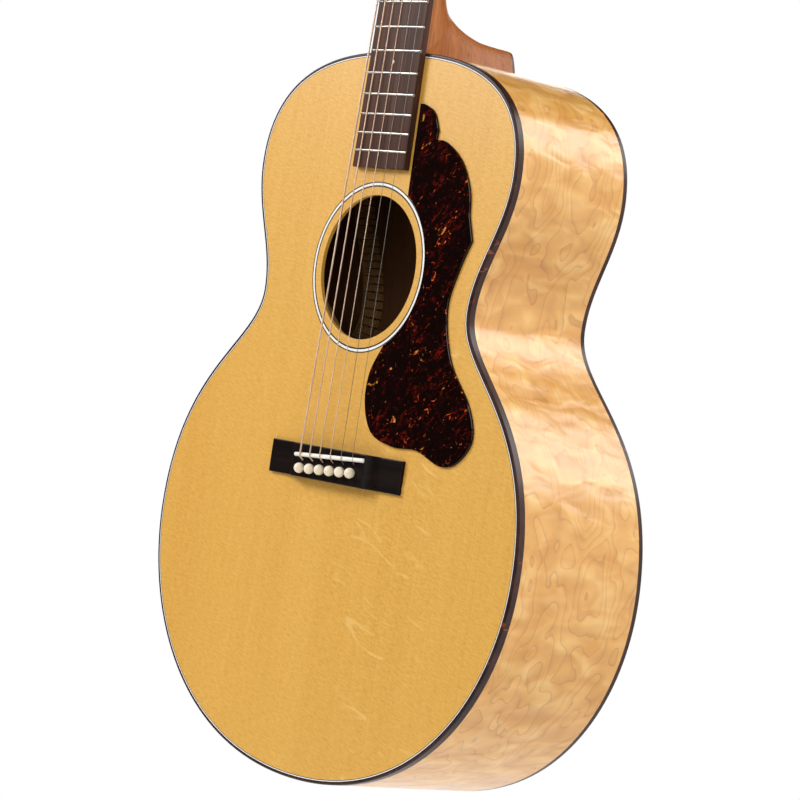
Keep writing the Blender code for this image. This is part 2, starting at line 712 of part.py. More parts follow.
def neck_stations():
    """Pairs of points in (y, z): the side edge and the back of each section of the neck."""
    joint = BODY_TOP + GAP
    heel = [(95.4, 300.6), (81, 300.7), (66, 301.5), (52.5, 304.4), (42, 308.7), (34.3, 314.4)]
    edge_y = [95.4, 76, 56, 36, 17, 0]
    pairs = [((y * MM, joint), (by * MM, bz * MM)) for y, (by, bz) in zip(edge_y, heel)]
    pairs += [((0, 297 * MM), (28.8 * MM, 319.5 * MM)), ((0, 312 * MM), (24.4 * MM, 328.5 * MM)),
              ((0, 338 * MM), (NECK_DEPTH_HEEL + 0.4 * MM, 347 * MM)),
              ((0, SCALE - 60 * MM), (NECK_DEPTH_NUT + 1 * MM, SCALE - 60 * MM)),
              ((0, HEAD_START), (NECK_DEPTH_NUT, HEAD_START))]
    return pairs


def heel_half(y):
    """Half the heel's width where it meets the body."""
    share = min(1.0, y / HEEL_CAP_Y)
    wide = board_half(BODY_TOP) - 0.6 * MM
    return wide + (HEEL_CAP_HALF - wide) * share ** 0.75


def neck_section(half, y):
    """Half sections as (x, share of depth): a half ellipse on the neck, a blunt wedge on the heel."""
    heel = max(0.0, min(1.0, 1.6 * y / HEEL_CAP_Y))
    power = 2 + 2 * heel
    section = []
    for k in range(13):
        turn = math.pi * k / 12
        across = math.copysign(abs(math.cos(turn)) ** (2 / power), math.cos(turn))
        depth = max(0.0, math.sin(turn)) ** (2 / power)
        section.append((half * across * (1 - HEEL_NARROWING * heel * depth), depth))
    return section


def make_neck():
    rings = []
    for (edge_y, edge_z), (back_y, back_z) in neck_stations():
        half = heel_half(edge_y) if edge_y > 0 else board_half(edge_z) - 0.6 * MM
        centre = Vector((0, edge_y, edge_z))
        rise = Vector((0, back_y, back_z)) - centre
        rings.append([centre + Vector((x, 0, 0)) + rise * depth
                      for x, depth in neck_section(half, edge_y)])
    neck = skin("neck", rings, PARTS, "mahogany", GUITAR)
    tenon = box("tenon", (-TENON_HALF, TOP_BINDING_DEPTH + 2 * GAP, TENON_Z),
                (TENON_HALF, TENON_Y, BODY_TOP + 6 * MM), CUTTERS, parent=GUITAR)
    boolean(neck, tenon, "UNION")
    blank = slab("head_blank", [head_outline()], level(0), level(HEAD_THICKNESS),
                 CUTTERS, parent=HEAD)
    boolean(neck, blank, "UNION")
    slot_start, slot_end = 305 * MM, SCALE - 8 * MM
    slot = box("truss_slot", (-TRUSS_HALF - GAP, -5 * MM, slot_start),
               (TRUSS_HALF + GAP, TRUSS_DEPTH + GAP, slot_end), CUTTERS, parent=GUITAR)
    boolean(neck, slot)
    box("truss_rod", (-TRUSS_HALF, GAP, slot_start + 1 * MM),
        (TRUSS_HALF, TRUSS_DEPTH, slot_end - 1 * MM), PARTS, "steel", GUITAR)
    holes = [rod("post_hole", (side * POST_X, -5 * MM, z), (side * POST_X, 30 * MM, z),
                 POST_RADIUS + 1.5 * GAP, CUTTERS) for side in (-1, 1) for z in POST_Z]
    post_holes = join("post_holes", holes, CUTTERS)
    post_holes.parent = HEAD
    boolean(neck, post_holes)
    plate = slab("headplate", [head_outline(1.5 * MM)], level(-HEAD_PLATE - GAP), level(-GAP),
                 PARTS, "ebony", HEAD)
    boolean(plate, post_holes)


def head_outline(start=0.0):
    """The head's treble side runs out in a hollow curve, and its top is a low arch."""
    right = [(NUT_HALF - 0.2 * MM, start), (22.6 * MM, 8 * MM), (27.5 * MM, 17 * MM),
             (31.0 * MM, 27 * MM), (32.4 * MM, 60 * MM), (34.2 * MM, 110 * MM),
             (HEAD_TOP_HALF, HEAD_SHOULDER)]
    arch = []
    for k in range(1, 9):
        share = 1 - k / 5
        arch.append((HEAD_TOP_HALF * share, HEAD_SHOULDER + HEAD_ARCH * (1 - share * share)))
    left = [(-x, z) for x, z in reversed(right)]
    return right + arch + left


def make_heel_cap():
    joint = BODY_TOP + GAP
    arc = [(x, joint + HEEL_REACH * depth) for x, depth in neck_section(HEEL_CAP_HALF, HEEL_CAP_Y)]
    slab("heel_cap", [arc], level(HEEL_CAP_Y + GAP), level(HEEL_CAP_Y + GAP + CAP_THICKNESS),
         PARTS, "binding", GUITAR)


def make_fretboard():
    """Board with its curved playing surface; the frets are set into it and stay with it."""
    rings = []
    for z in (BOARD_END, SCALE):
        half = board_half(z)
        ring = [(half, -GAP, z), (-half, -GAP, z)]
        for k in range(5):
            x = half * (k / 2 - 1)
            ring.append((x, -BOARD_TOP + crown_drop(x), z))
        rings.append(ring)
    board = skin("fretboard", rings, PARTS, "rosewood", GUITAR)
    wires = []
    for n in range(1, FRETS + 1):
        z = SCALE * 2 ** (-n / 12)
        half = board_half(z) - GAP
        arc = []
        for k in range(5):
            x = half * (k / 2 - 1)
            arc.append((x, -BOARD_TOP + crown_drop(x), z))
        wire = tube("fret", arc, FRET_RADIUS, CUTTERS, resolution=0)
        wires.append(mesh_from_curve(wire))
    frets = join("frets", wires, CUTTERS)
    frets.parent = GUITAR
    boolean(board, frets, "UNION")


def make_nut():
    rings = []
    for k in range(9):
        x = (NUT_HALF - 0.2 * MM) * (k / 4 - 1)
        top = -STRING_AT_NUT + crown_drop(x) + STRING_DIAMETERS[0] / 2 + GAP
        low, high = SCALE + GAP, SCALE + GAP + NUT_LENGTH - GAP
        rings.append([(x, -GAP, low), (x, -GAP, high), (x, top + 2.2 * MM, high),
                      (x, top + 0.5 * MM, low + 1.8 * MM), (x, top, low + 0.5 * MM), (x, top, low)])
    skin("nut", rings, PARTS, "bone", GUITAR)


# ---- tuners -----------------------------------------------------------------------------
def gear_outline():
    points = []
    for k in range(GEAR_TEETH * 2):
        turn = 2 * math.pi * (k + 0.5) / (GEAR_TEETH * 2)
        radius = GEAR_RADIUS if k % 2 else GEAR_RADIUS - 1.1 * MM
        points.append((radius * math.cos(turn), radius * math.sin(turn)))
    return points


def make_tuner_plate(name, side):
    """Three tuners share a strip, with a pair of folded ears to carry each worm shaft."""
    low, high = POST_X - 8.5 * MM, POST_X + 8 * MM
    plate = box(name, (low, PLATE_FRONT, POST_Z[0] - 19 * MM),
                (high, PLATE_BACK, POST_Z[2] + 13 * MM), PARTS, "nickel", HEAD)
    for row, z in enumerate(POST_Z):
        for k, x in enumerate((low, high - 1.6 * MM)):
            ear = box("%s_ear_%d_%d" % (name, row, k),
                      (x, PLATE_BACK - 0.6 * MM, z - WORM_OFFSET - 3.4 * MM),
                      (x + 1.6 * MM, WORM_Y + 3.4 * MM, z - WORM_OFFSET + 3.4 * MM),
                      CUTTERS, parent=HEAD)
            ear.scale.x = side
            boolean(plate, ear, "UNION")
    for row, z in enumerate(POST_Z):
        hole = rod("%s_post_way_%d" % (name, row), (POST_X, 10 * MM, z), (POST_X, 30 * MM, z),
                   POST_RADIUS + 1.5 * GAP, CUTTERS, parent=HEAD)
        bore = rod("%s_shaft_way_%d" % (name, row), (5 * MM, WORM_Y, z - WORM_OFFSET),
                   (45 * MM, WORM_Y, z - WORM_OFFSET), 2.0 * MM, CUTTERS, sides=10, parent=HEAD)
        for cutter in (hole, bore):
            cutter.scale.x = side
            boolean(plate, cutter)
    plate.scale.x = side
    return plate


def mirror_mesh(obj):
    """Flip a mesh in X, with its faces still pointing out."""
    for vert in obj.data.vertices:
        vert.co.x = -vert.co.x
    obj.data.flip_normals()


def make_tuner_plates():
    plate = bake(make_tuner_plate("tuner_plate_treble", 1))
    other = add_object("tuner_plate_bass", plate.data.copy(), PARTS, "nickel", HEAD)
    mirror_mesh(other)


def make_post_pattern():
    """Turned post with its worm wheel, drawn along its own Z with the wheel low."""
    profile = [(0, 17 * MM), (2.4 * MM, 17 * MM), (POST_RADIUS, 16.2 * MM),
               (POST_RADIUS, 11.5 * MM), (2.5 * MM, 10.2 * MM), (2.5 * MM, 7.5 * MM),
               (POST_RADIUS, 6.2 * MM), (POST_RADIUS, -WORM_Y - 3.2 * MM),
               (0, -WORM_Y - 3.2 * MM)]
    post = turned("post_pattern", profile, CUTTERS, "nickel", None, 14)
    wheel = slab("wheel_pattern", [gear_outline()], level(WORM_Y - 1.8 * MM),
                 level(WORM_Y + 1.8 * MM), CUTTERS)
    wheel.rotation_euler.x = -math.pi / 2
    boolean(post, wheel, "UNION")
    bake(post)
    smooth_shade(post)
    return post


def make_knob_pattern():
    """Worm shaft and button on one axis; the button is at the high end of Z."""
    worm, shaft = 2.3 * MM, 1.5 * MM
    profile = [(0, 17 * MM), (shaft, 17 * MM), (shaft, 5.6 * MM), (worm, 5.2 * MM),
               (worm, -5.2 * MM), (shaft, -5.6 * MM), (shaft, -10 * MM), (0, -10 * MM)]
    knob = turned("knob_pattern", profile, CUTTERS, "nickel", None, 10)
    mesh = bpy.data.meshes.new("button_pattern")
    work = bmesh.new()
    bmesh.ops.create_uvsphere(work, u_segments=10, v_segments=8, radius=1)
    bmesh.ops.scale(work, vec=(4 * MM, 8.6 * MM, 7 * MM), verts=work.verts)
    bmesh.ops.translate(work, vec=(0, 0, 22.5 * MM), verts=work.verts)
    work.to_mesh(mesh)
    work.free()
    button = add_object("button_pattern", mesh, CUTTERS)
    boolean(knob, button, "UNION")
    bake(knob)
    smooth_shade(knob)
    return knob


def make_tuners():
    make_tuner_plates()
    post_pattern = make_post_pattern()
    knob_pattern = make_knob_pattern()
    for i in range(6):
        side = -1 if i < 3 else 1
        z = POST_Z[i if i < 3 else 5 - i]
        post = add_object("tuner_post_%d" % (6 - i), post_pattern.data, PARTS, None, HEAD)
        post.location = (side * POST_X, 0, z)
        post.rotation_euler.x = math.pi / 2
        knob = add_object("tuner_knob_%d" % (6 - i), knob_pattern.data, PARTS, None, HEAD)
        knob.location = (side * POST_X, WORM_Y, z - WORM_OFFSET)
        knob.rotation_euler.y = side * math.pi / 2


clear_scene()
PARTS = make_collection("acoustic_guitar")
CUTTERS = make_collection("cutters")
GUITAR = add_object("guitar", None, PARTS)
GUITAR.location = (0, 0, -SCALE)
HEAD = add_object("head_frame", None, PARTS, parent=GUITAR)
HEAD.location = (0, 0, HEAD_START)
HEAD.rotation_euler.x = HEAD_TILT
HEAD_MATRIX = Matrix.Translation(HEAD.location) @ Matrix.Rotation(HEAD_TILT, 4, "X")

soundboard_plate, back_board = make_plates()
make_sides()
make_edges()
make_linings()
make_blocks()
make_braces()
make_rosette()
make_pickguard()
make_bridge(soundboard_plate)
make_strings()
make_neck()
make_heel_cap()
make_fretboard()
make_nut()
make_tuners()
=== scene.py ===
"""The looks of a flat-top steel-string guitar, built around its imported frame.

Every mesh is drawn in millimetres: +X to the treble side, +Y from the soundboard to the back,
+Z up from the scale line at the bridge. GUITAR turns that into metres in the row frame, whose
origin is the nut. The head has its own tilted frame, HEAD. Materials, camera and light work in
metres.
"""
import json
import math

import bmesh
import bpy
from mathutils import Matrix, Vector


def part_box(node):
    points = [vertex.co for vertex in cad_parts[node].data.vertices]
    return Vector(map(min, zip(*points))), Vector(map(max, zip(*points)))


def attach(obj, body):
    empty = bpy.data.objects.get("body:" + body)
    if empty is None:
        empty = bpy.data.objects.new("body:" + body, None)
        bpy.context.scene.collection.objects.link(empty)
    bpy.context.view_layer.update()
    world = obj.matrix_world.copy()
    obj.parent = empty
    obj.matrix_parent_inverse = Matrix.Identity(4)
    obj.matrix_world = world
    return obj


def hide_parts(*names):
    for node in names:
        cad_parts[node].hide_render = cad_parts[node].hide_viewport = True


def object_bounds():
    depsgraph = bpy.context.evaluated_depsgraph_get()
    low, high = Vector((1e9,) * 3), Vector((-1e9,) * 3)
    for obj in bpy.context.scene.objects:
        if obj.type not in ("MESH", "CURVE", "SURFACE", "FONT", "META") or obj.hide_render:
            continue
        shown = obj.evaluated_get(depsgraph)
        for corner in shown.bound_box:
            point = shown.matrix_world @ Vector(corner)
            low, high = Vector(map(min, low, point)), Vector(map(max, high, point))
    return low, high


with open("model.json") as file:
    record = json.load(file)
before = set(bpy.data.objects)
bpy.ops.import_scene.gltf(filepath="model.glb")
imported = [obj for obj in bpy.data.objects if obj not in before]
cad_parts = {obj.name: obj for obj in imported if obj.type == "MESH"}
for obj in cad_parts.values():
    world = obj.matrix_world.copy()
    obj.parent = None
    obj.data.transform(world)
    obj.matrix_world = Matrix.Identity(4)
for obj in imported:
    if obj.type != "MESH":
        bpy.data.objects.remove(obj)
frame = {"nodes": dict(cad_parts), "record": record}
CAD_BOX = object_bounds()


def cad_box(node):
    """A CAD node's two corners in millimetres."""
    return [corner * 1000 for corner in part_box(node)]


AMBIENT, MIRRORED = 0.165, 0.03
FLOOR_DROP = 0.35                  # the guitar hangs by its neck, clear of the floor
BODY_HEART = Vector((0, 0.05, -0.6))    # inside the body; the lamps aim at it
IN_FRONT = Vector((0, -0.5, -0.6))      # well before the soundboard
TAU = 2 * math.pi
SIDES = (("bass", -1), ("treble", 1))

# ---- sizes in millimetres: read from the frame where it has them ------------------------
SCALE = 632.5                      # saddle line to nut; the nut is the row frame's origin
RIM_LOW, RIM_HIGH = cad_box("binding_top")
BODY_TOP, BODY_BOTTOM = RIM_HIGH.z + SCALE, RIM_LOW.z + SCALE
LOWER_HALF = RIM_HIGH.x
LOWER_Z = -61.5
WAIST_HALF, WAIST_Z = 112.8, 106.6
UPPER_HALF, UPPER_Z = 137.8, 200.2
TAIL_DEPTH = cad_box("binding_back")[1].y
DEPTH_SLOPE = -0.0485
DEPTH_AT_SCALE_LINE = TAIL_DEPTH + DEPTH_SLOPE * -BODY_BOTTOM
BACK_ARCH = 3.0
PLATE = 2.8
SIDE = 2.3
SIDE_START = 11.0
BINDING_WIDTH, BINDING_CORNER = 2.0, 1.1
TOP_BINDING_DEPTH = RIM_HIGH.y
BACK_BINDING_DEPTH = 4.2
PURFLING = [("inner", 0.45, "black"), ("white", 0.6, "white"), ("outer", 0.4, "black")]
PURFLING_WIDTH = sum(width for _, width, _ in PURFLING)
LINING_WIDTH, LINING_DEPTH = 6.5, 15.0
KERF_PITCH, KERF = 5.6, 1.1

HOLE_Z, HOLE_RADIUS = 130.0, 50.85
ROSETTE_OUTER = cad_box("rosette")[1].x
ROSETTE = [("inner", 1.1, "black"), ("white", 1.65, "white"), ("outer", 0.85, "black")]
ROSETTE_DEPTH = 1.0
GUARD_FACE = cad_box("pickguard")[0].y

BRIDGE_LOW, BRIDGE_HIGH = cad_box("bridge")
BRIDGE_HALF = BRIDGE_HIGH.x
BRIDGE_UPPER_Z, BRIDGE_LOWER_Z = BRIDGE_HIGH.z + SCALE, BRIDGE_LOW.z + SCALE
BRIDGE_HEIGHT = -BRIDGE_LOW.y
BRIDGE_WING, BRIDGE_CENTRE_HALF, BRIDGE_RAMP = 2.6, 39.0, 13.0
SADDLE_HALF, SADDLE_THICKNESS, SADDLE_Z, SLANT = 38.7, 3.0, -5.05, 0.0503
PIN_Z, PIN_SPACING = -14.6, 11.08
PIN_TOP, PIN_TIP, PIN_LENGTH, PIN_WAY = 2.65, 2.25, 25.0, 2.95
STRING_DIAMETERS = [1.35, 1.07, 0.81, 0.61, 0.43, 0.33]
WOUND_STRINGS, WRAP_PITCH, STRING_PLAY = 4, 0.28, 0.2
SADDLE_SPREAD, NUT_SPREAD = 11.5, 7.2
STRING_AT_SADDLE, STRING_AT_NUT = 12.2, 7.3

NUT_HALF, BOARD_TAPER, BOARD_RADIUS = 21.45, 0.01597, 406.0
BOARD_TOP = 5.6
BOARD_END = cad_box("fretboard")[0].z + SCALE
FRETS = 19
FRET_HALF, FRET_HEIGHT = 0.9, 0.95
NUT_LENGTH = 4.8
NECK_DEPTH_NUT, NECK_DEPTH_HEEL = 15.0, 18.5
CAP_FACE, CAP_BACK = cad_box("heel_cap")[0].y, cad_box("heel_cap")[1].y
CAP_HALF = cad_box("heel_cap")[1].x
HEEL_REACH = 18.8
HEEL_NARROWING = 0.42
TENON = (-10.2, 6.2, 262), (10.2, 74, BODY_TOP + 6)
TRUSS_SLOT = (-3.3, -5, 305), (3.3, 9.5, SCALE - 8)

HEAD_TILT = math.radians(-15)
HEAD_START = SCALE + NUT_LENGTH + 0.6
HEAD_THICKNESS, HEAD_PLATE = 14.5, 2.0
HEAD_SHOULDER, HEAD_ARCH, HEAD_TOP_HALF = 158.0, 10.0, 36.2
POST_X, POST_Z = 22.0, [42.0, 82.0, 122.0]
POST_RADIUS, POST_WAIST, POST_HOLE, POST_WRAP_Y = 3.0, 2.5, 4.2, -8.0
GEAR_RADIUS, GEAR_TEETH, GEAR_THICKNESS = 5.5, 14, 3.6
WORM_OFFSET, WORM_Y, WORM_RADIUS, WORM_PITCH, SHAFT_RADIUS = 8.2, 18.4, 2.2, 2.1, 1.5
EAR_RADIUS, EAR_THICKNESS, EAR_BORE = 3.4, 1.6, 1.7
PLATE_SCREWS = [POST_Z[0] - 15.4, 57, 97, POST_Z[2] + 9]

GUITAR = Matrix.Scale(0.001, 4) @ Matrix.Translation((0, 0, -SCALE))
HEAD = GUITAR @ Matrix.Translation((0, 0, HEAD_START)) @ Matrix.Rotation(HEAD_TILT, 4, "X")
SADDLE_PLACE = Matrix.Translation((0, 0, SADDLE_Z)) @ Matrix.Rotation(-math.atan(SLANT), 4, "Y")


# ---- outlines ---------------------------------------------------------------------------
def around(steps):
    """Even turns of a whole circle, without the last."""
    return [TAU * i / steps for i in range(steps)]


def through(span, steps):
    """Even turns from nothing to a whole span."""
    return [span * i / steps for i in range(steps + 1)]


def polar(radius, turn):
    return radius * math.cos(turn), radius * math.sin(turn)


def bezier(a, b, c, d, steps):
    """Points along a cubic curve, without its end."""
    for step in range(steps):
        t = step / steps
        s = 1 - t
        yield tuple(s ** 3 * a[k] + 3 * s * s * t * b[k] + 3 * s * t * t * c[k] + t ** 3 * d[k]
                    for k in (0, 1))


def half_outline():
    """The body's treble half, clockwise from the top centre to the bottom centre."""
    upper, waist, lower = (UPPER_HALF, UPPER_Z), (WAIST_HALF, WAIST_Z), (LOWER_HALF, LOWER_Z)
    arcs = [
        ((0, BODY_TOP), (19, BODY_TOP), (UPPER_HALF, UPPER_Z + 88), upper),
        (upper, (UPPER_HALF, UPPER_Z - 36.8), (WAIST_HALF, WAIST_Z + 32.7), waist),
        (waist, (WAIST_HALF, WAIST_Z - 40.3), (LOWER_HALF, LOWER_Z + 107), lower),
        (lower, (LOWER_HALF, LOWER_Z - 82.4), (131.5, BODY_BOTTOM), (0, BODY_BOTTOM)),
    ]
    return [point for arc in arcs for point in bezier(*arc, 40)] + [(0, BODY_BOTTOM)]


def whole_outline():
    half = half_outline()
    return half + [(-x, z) for x, z in reversed(half[1:-1])]


def inset(points, distance):
    """A closed clockwise outline moved inwards."""
    moved = []
    for i, (x, z) in enumerate(points):
        before, after = points[i - 1], points[(i + 1) % len(points)]
        run = Vector((after[0] - before[0], after[1] - before[1])).normalized()
        moved.append((x + run.y * distance, z - run.x * distance))
    return moved


def hole_circle(radius, steps=96):
    """A circle round the soundhole's centre."""
    return [(radius * math.cos(turn), HOLE_Z - radius * math.sin(turn)) for turn in around(steps)]


def smooth_run(points, steps=8):
    """Catmull-Rom curve through points of any size, without its last point."""
    path = [Vector(point) for point in points]
    path = [2 * path[0] - path[1]] + path + [2 * path[-1] - path[-2]]
    made = []
    for a, b, c, d in zip(path, path[1:], path[2:], path[3:]):
        for step in range(steps):
            t = step / steps
            made.append((2 * b + (c - a) * t + (2 * a - 5 * b + 4 * c - d) * t * t
                         + (3 * b - a - 3 * c + d) * t ** 3) / 2)
    return made


def flat(points, y):
    """An (x, z) outline as points at one depth."""
    return [(x, y, z) for x, z in points]


def back_plane(z):
    """Depth of the back's rim; the body is shallower towards the neck."""
    return DEPTH_AT_SCALE_LINE + DEPTH_SLOPE * z


# ---- meshes -----------------------------------------------------------------------------
def lofted(rings, along=False, caps=True):
    """A skin through rings of equally many points; along joins the last ring to the first."""
    work = bmesh.new()
    rows = [[work.verts.new(point) for point in ring] for ring in rings]
    if caps and not along:
        work.faces.new(rows[0])
        work.faces.new(rows[-1])
    if along:
        rows.append(rows[0])
    for low, high in zip(rows, rows[1:]):
        for quad in zip(low, low[1:] + low[:1], high[1:] + high[:1], high):
            work.faces.new(quad)
    return work


def slab(stacks):
    """A plate; each stack is one edge of it, as rings from its front face to its back."""
    work = bmesh.new()
    ends = ([], [])
    for stack in stacks:
        rows = [[work.verts.new(point) for point in ring] for ring in stack]
        for low, high in zip(rows, rows[1:]):
            for quad in zip(low, low[1:] + low[:1], high[1:] + high[:1], high):
                work.faces.new(quad)
        for end, row in zip(ends, (rows[0], rows[-1])):
            end += [work.edges.get(pair) for pair in zip(row, row[1:] + row[:1])]
    for end in ends:
        bmesh.ops.triangle_fill(work, use_beauty=True, edges=end)
    return work


def turned(profile, steps=32, closed=False):
    """Rings of (radius, height) round local Z; a closed profile makes a collar with a bore."""
    work = lofted([[(*polar(radius, turn), height) for turn in around(steps)]
                   for radius, height in profile], along=closed)
    bmesh.ops.remove_doubles(work, verts=work.verts, dist=0.001)
    return work


def aim(place, direction):
    """Puts local Z along a direction."""
    turn = Vector(direction).to_track_quat("Z", "Y").to_matrix().to_4x4()
    return Matrix.Translation(place) @ turn


def swept(points, radius, sides=12):
    """A tube along a path, its rings carried without twist."""
    points = [Vector(point) for point in points]
    runs = [(b - a).normalized() for a, b in zip(points, points[1:])]
    runs = [runs[0]] + [(a + b).normalized() for a, b in zip(runs, runs[1:])] + [runs[-1]]
    across = runs[0].orthogonal().normalized()
    rings = []
    for place, run in zip(points, runs):
        across = (across - run * across.dot(run)).normalized()
        other = run.cross(across)
        rings.append([place + (across * math.cos(turn) + other * math.sin(turn)) * radius
                      for turn in around(sides)])
    return lofted(rings)


def softened(points, cut, steps=6):
    """A path with each inner corner replaced by a short curve."""
    points = [Vector(point) for point in points]
    made = [points[0]]
    for a, b, c in zip(points, points[1:], points[2:]):
        reach = min(cut, (a - b).length * 0.45, (c - b).length * 0.45)
        start, end = b + (a - b).normalized() * reach, b + (c - b).normalized() * reach
        for step in range(steps + 1):
            t = step / steps
            made.append(start * (1 - t) ** 2 + b * 2 * t * (1 - t) + end * t * t)
    return made + [points[-1]]


def merged(parts):
    """Several meshes as one, each already in place."""
    work = bmesh.new()
    for part in parts:
        mesh = bpy.data.meshes.new("part")
        part.to_mesh(mesh)
        part.free()
        work.from_mesh(mesh)
        bpy.data.meshes.remove(mesh)
    return work


def placed(work, matrix):
    bmesh.ops.transform(work, matrix=matrix, verts=work.verts)
    return work


def new_object(name, work, place=GUITAR):
    placed(work, place)
    bmesh.ops.recalc_face_normals(work, faces=work.faces)
    if work.calc_volume(signed=True) < 0:
        bmesh.ops.reverse_faces(work, faces=work.faces)
    mesh = bpy.data.meshes.new(name)
    work.to_mesh(mesh)
    work.free()
    obj = bpy.data.objects.new(name, mesh)
    bpy.context.scene.collection.objects.link(obj)
    return obj


def dress(obj, finish, body="root", stands_for=(), slot=None, angle=35):
    """Material, shading, body and the CAD nodes that the piece stands for."""
    obj.data.materials.clear()
    obj.data.materials.append(finish)
    obj.data.shade_smooth()
    obj.data.set_sharp_from_angle(angle=math.radians(angle))
    obj.modifiers.new("even_shading", "WEIGHTED_NORMAL").keep_sharp = True
    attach(obj, body)
    if stands_for:
        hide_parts(*stands_for)
    return obj


def line_with(obj, finish, heart):
    """Gives another finish to the faces that look towards a point."""
    obj.data.materials.append(finish)
    for face in obj.data.polygons:
        if face.normal.dot(heart - face.center) > 0.3 * (heart - face.center).length:
            face.material_index = 1


def piece(name, work, finish, place=GUITAR, **rest):
    return dress(new_object(name, work, place), finish, **rest)


def carve(obj, cutters, operation="DIFFERENCE"):
    """Cuts solids out of a mesh for good, and clears the cutters away."""
    for cutter in cutters:
        modifier = obj.modifiers.new("cut", "BOOLEAN")
        modifier.operation = operation
        modifier.solver = "EXACT"
        modifier.object = cutter
    bpy.context.view_layer.update()
    graph = bpy.context.evaluated_depsgraph_get()
    mesh = bpy.data.meshes.new_from_object(obj.evaluated_get(graph))
    obj.modifiers.clear()
    obj.data = mesh
    for cutter in cutters:
        bpy.data.objects.remove(cutter)


def block(low, high):
    """A box-shaped cutter."""
    corners = [(low[0], low[1]), (high[0], low[1]), (high[0], high[1]), (low[0], high[1])]
    return lofted([[(x, y, z) for x, y in corners] for z in (low[2], high[2])])


# ---- materials --------------------------------------------------------------------------
def rgb(code):
    """Linear colour from a hex code."""
    values = [int(code[i:i + 2], 16) / 255 for i in (0, 2, 4)]
    return tuple(v / 12.92 if v <= 0.04045 else ((v + 0.055) / 1.055) ** 2.4 for v in values) + (1,)


def lean(degrees):
    """A turn in the soundboard's plane."""
    return 0, math.radians(degrees), 0


class Paint:
    """One procedural material, built a node at a time."""

    def __init__(self, name):
        self.material = bpy.data.materials.new(name)
        self.material.use_nodes = True
        self.tree = self.material.node_tree
        self.shader = self.tree.nodes["Principled BSDF"]

    def feed(self, socket, value):
        if isinstance(value, bpy.types.NodeSocket):
            self.tree.links.new(value, socket)
        else:
            socket.default_value = value

    def node(self, kind, inputs=(), **settings):
        made = self.tree.nodes.new(kind)
        for key, value in settings.items():
            setattr(made, key, value)
        for key, value in dict(inputs).items():
            self.feed(made.inputs[key], value)
        return made

    def stretch(self, vector, scale, shift=(0, 0, 0)):
        return self.node("ShaderNodeMapping", {
            "Vector": vector, "Scale": scale, "Location": shift}).outputs[0]

    def metres(self):
        return self.node("ShaderNodeTexCoord").outputs["Object"]

    def noise(self, vector, detail=2.0, rough=0.5, warp=0.0):
        return self.node("ShaderNodeTexNoise", {
            "Vector": vector, "Scale": 1.0, "Detail": detail, "Roughness": rough,
            "Distortion": warp}).outputs["Fac"]

    def grain(self, scale, detail=2.0, rough=0.5, warp=0.0, turn=(0, 0, 0), shift=(0, 0, 0)):
        """Noise in the object's metres, turned and then stretched."""
        source = self.metres()
        if any(turn):
            source = self.node("ShaderNodeMapping", {"Vector": source, "Rotation": turn}).outputs[0]
        return self.noise(self.stretch(source, scale, shift), detail, rough, warp)

    def ramp(self, value, *stops):
        made = self.node("ShaderNodeValToRGB", {"Fac": value})
        points = made.color_ramp.elements
        while len(points) < len(stops):
            points.new(1.0)
        for point, (position, colour) in zip(points, stops):
            point.position = position
            point.color = rgb(colour) if isinstance(colour, str) else (colour, colour, colour, 1)
        return made.outputs["Color"]

    def tones(self, value, low, high, start=0.3, end=0.7):
        return self.ramp(value, (start, low), (end, high))

    def mask(self, value, start, end):
        return self.ramp(value, (start, 0.0), (end, 1.0))

    def mix(self, a, b, share):
        return self.node("ShaderNodeMix", {0: share, 6: a, 7: b}, data_type="RGBA").outputs[2]

    def calc(self, operation, a, b=0.0):
        return self.node("ShaderNodeMath", {0: a, 1: b}, operation=operation).outputs[0]

    def times(self, a, b):
        return self.calc("MULTIPLY", a, b)

    def blend(self, value, low, high):
        """Maps 0..1 to low..high."""
        return self.node("ShaderNodeMapRange", {
            "Value": value, "To Min": low, "To Max": high}).outputs[0]

    def done(self, colour, roughness, height, strength=0.2, distance=0.0002, **others):
        self.feed(self.shader.inputs["Base Color"], colour)
        self.feed(self.shader.inputs["Roughness"], roughness)
        for key, value in others.items():
            self.feed(self.shader.inputs[key.replace("_", " ")], value)
        bump = self.node("ShaderNodeBump", {"Height": height, "Strength": strength, "Distance": distance})
        self.feed(self.shader.inputs["Normal"], bump.outputs["Normal"])
        return self.material


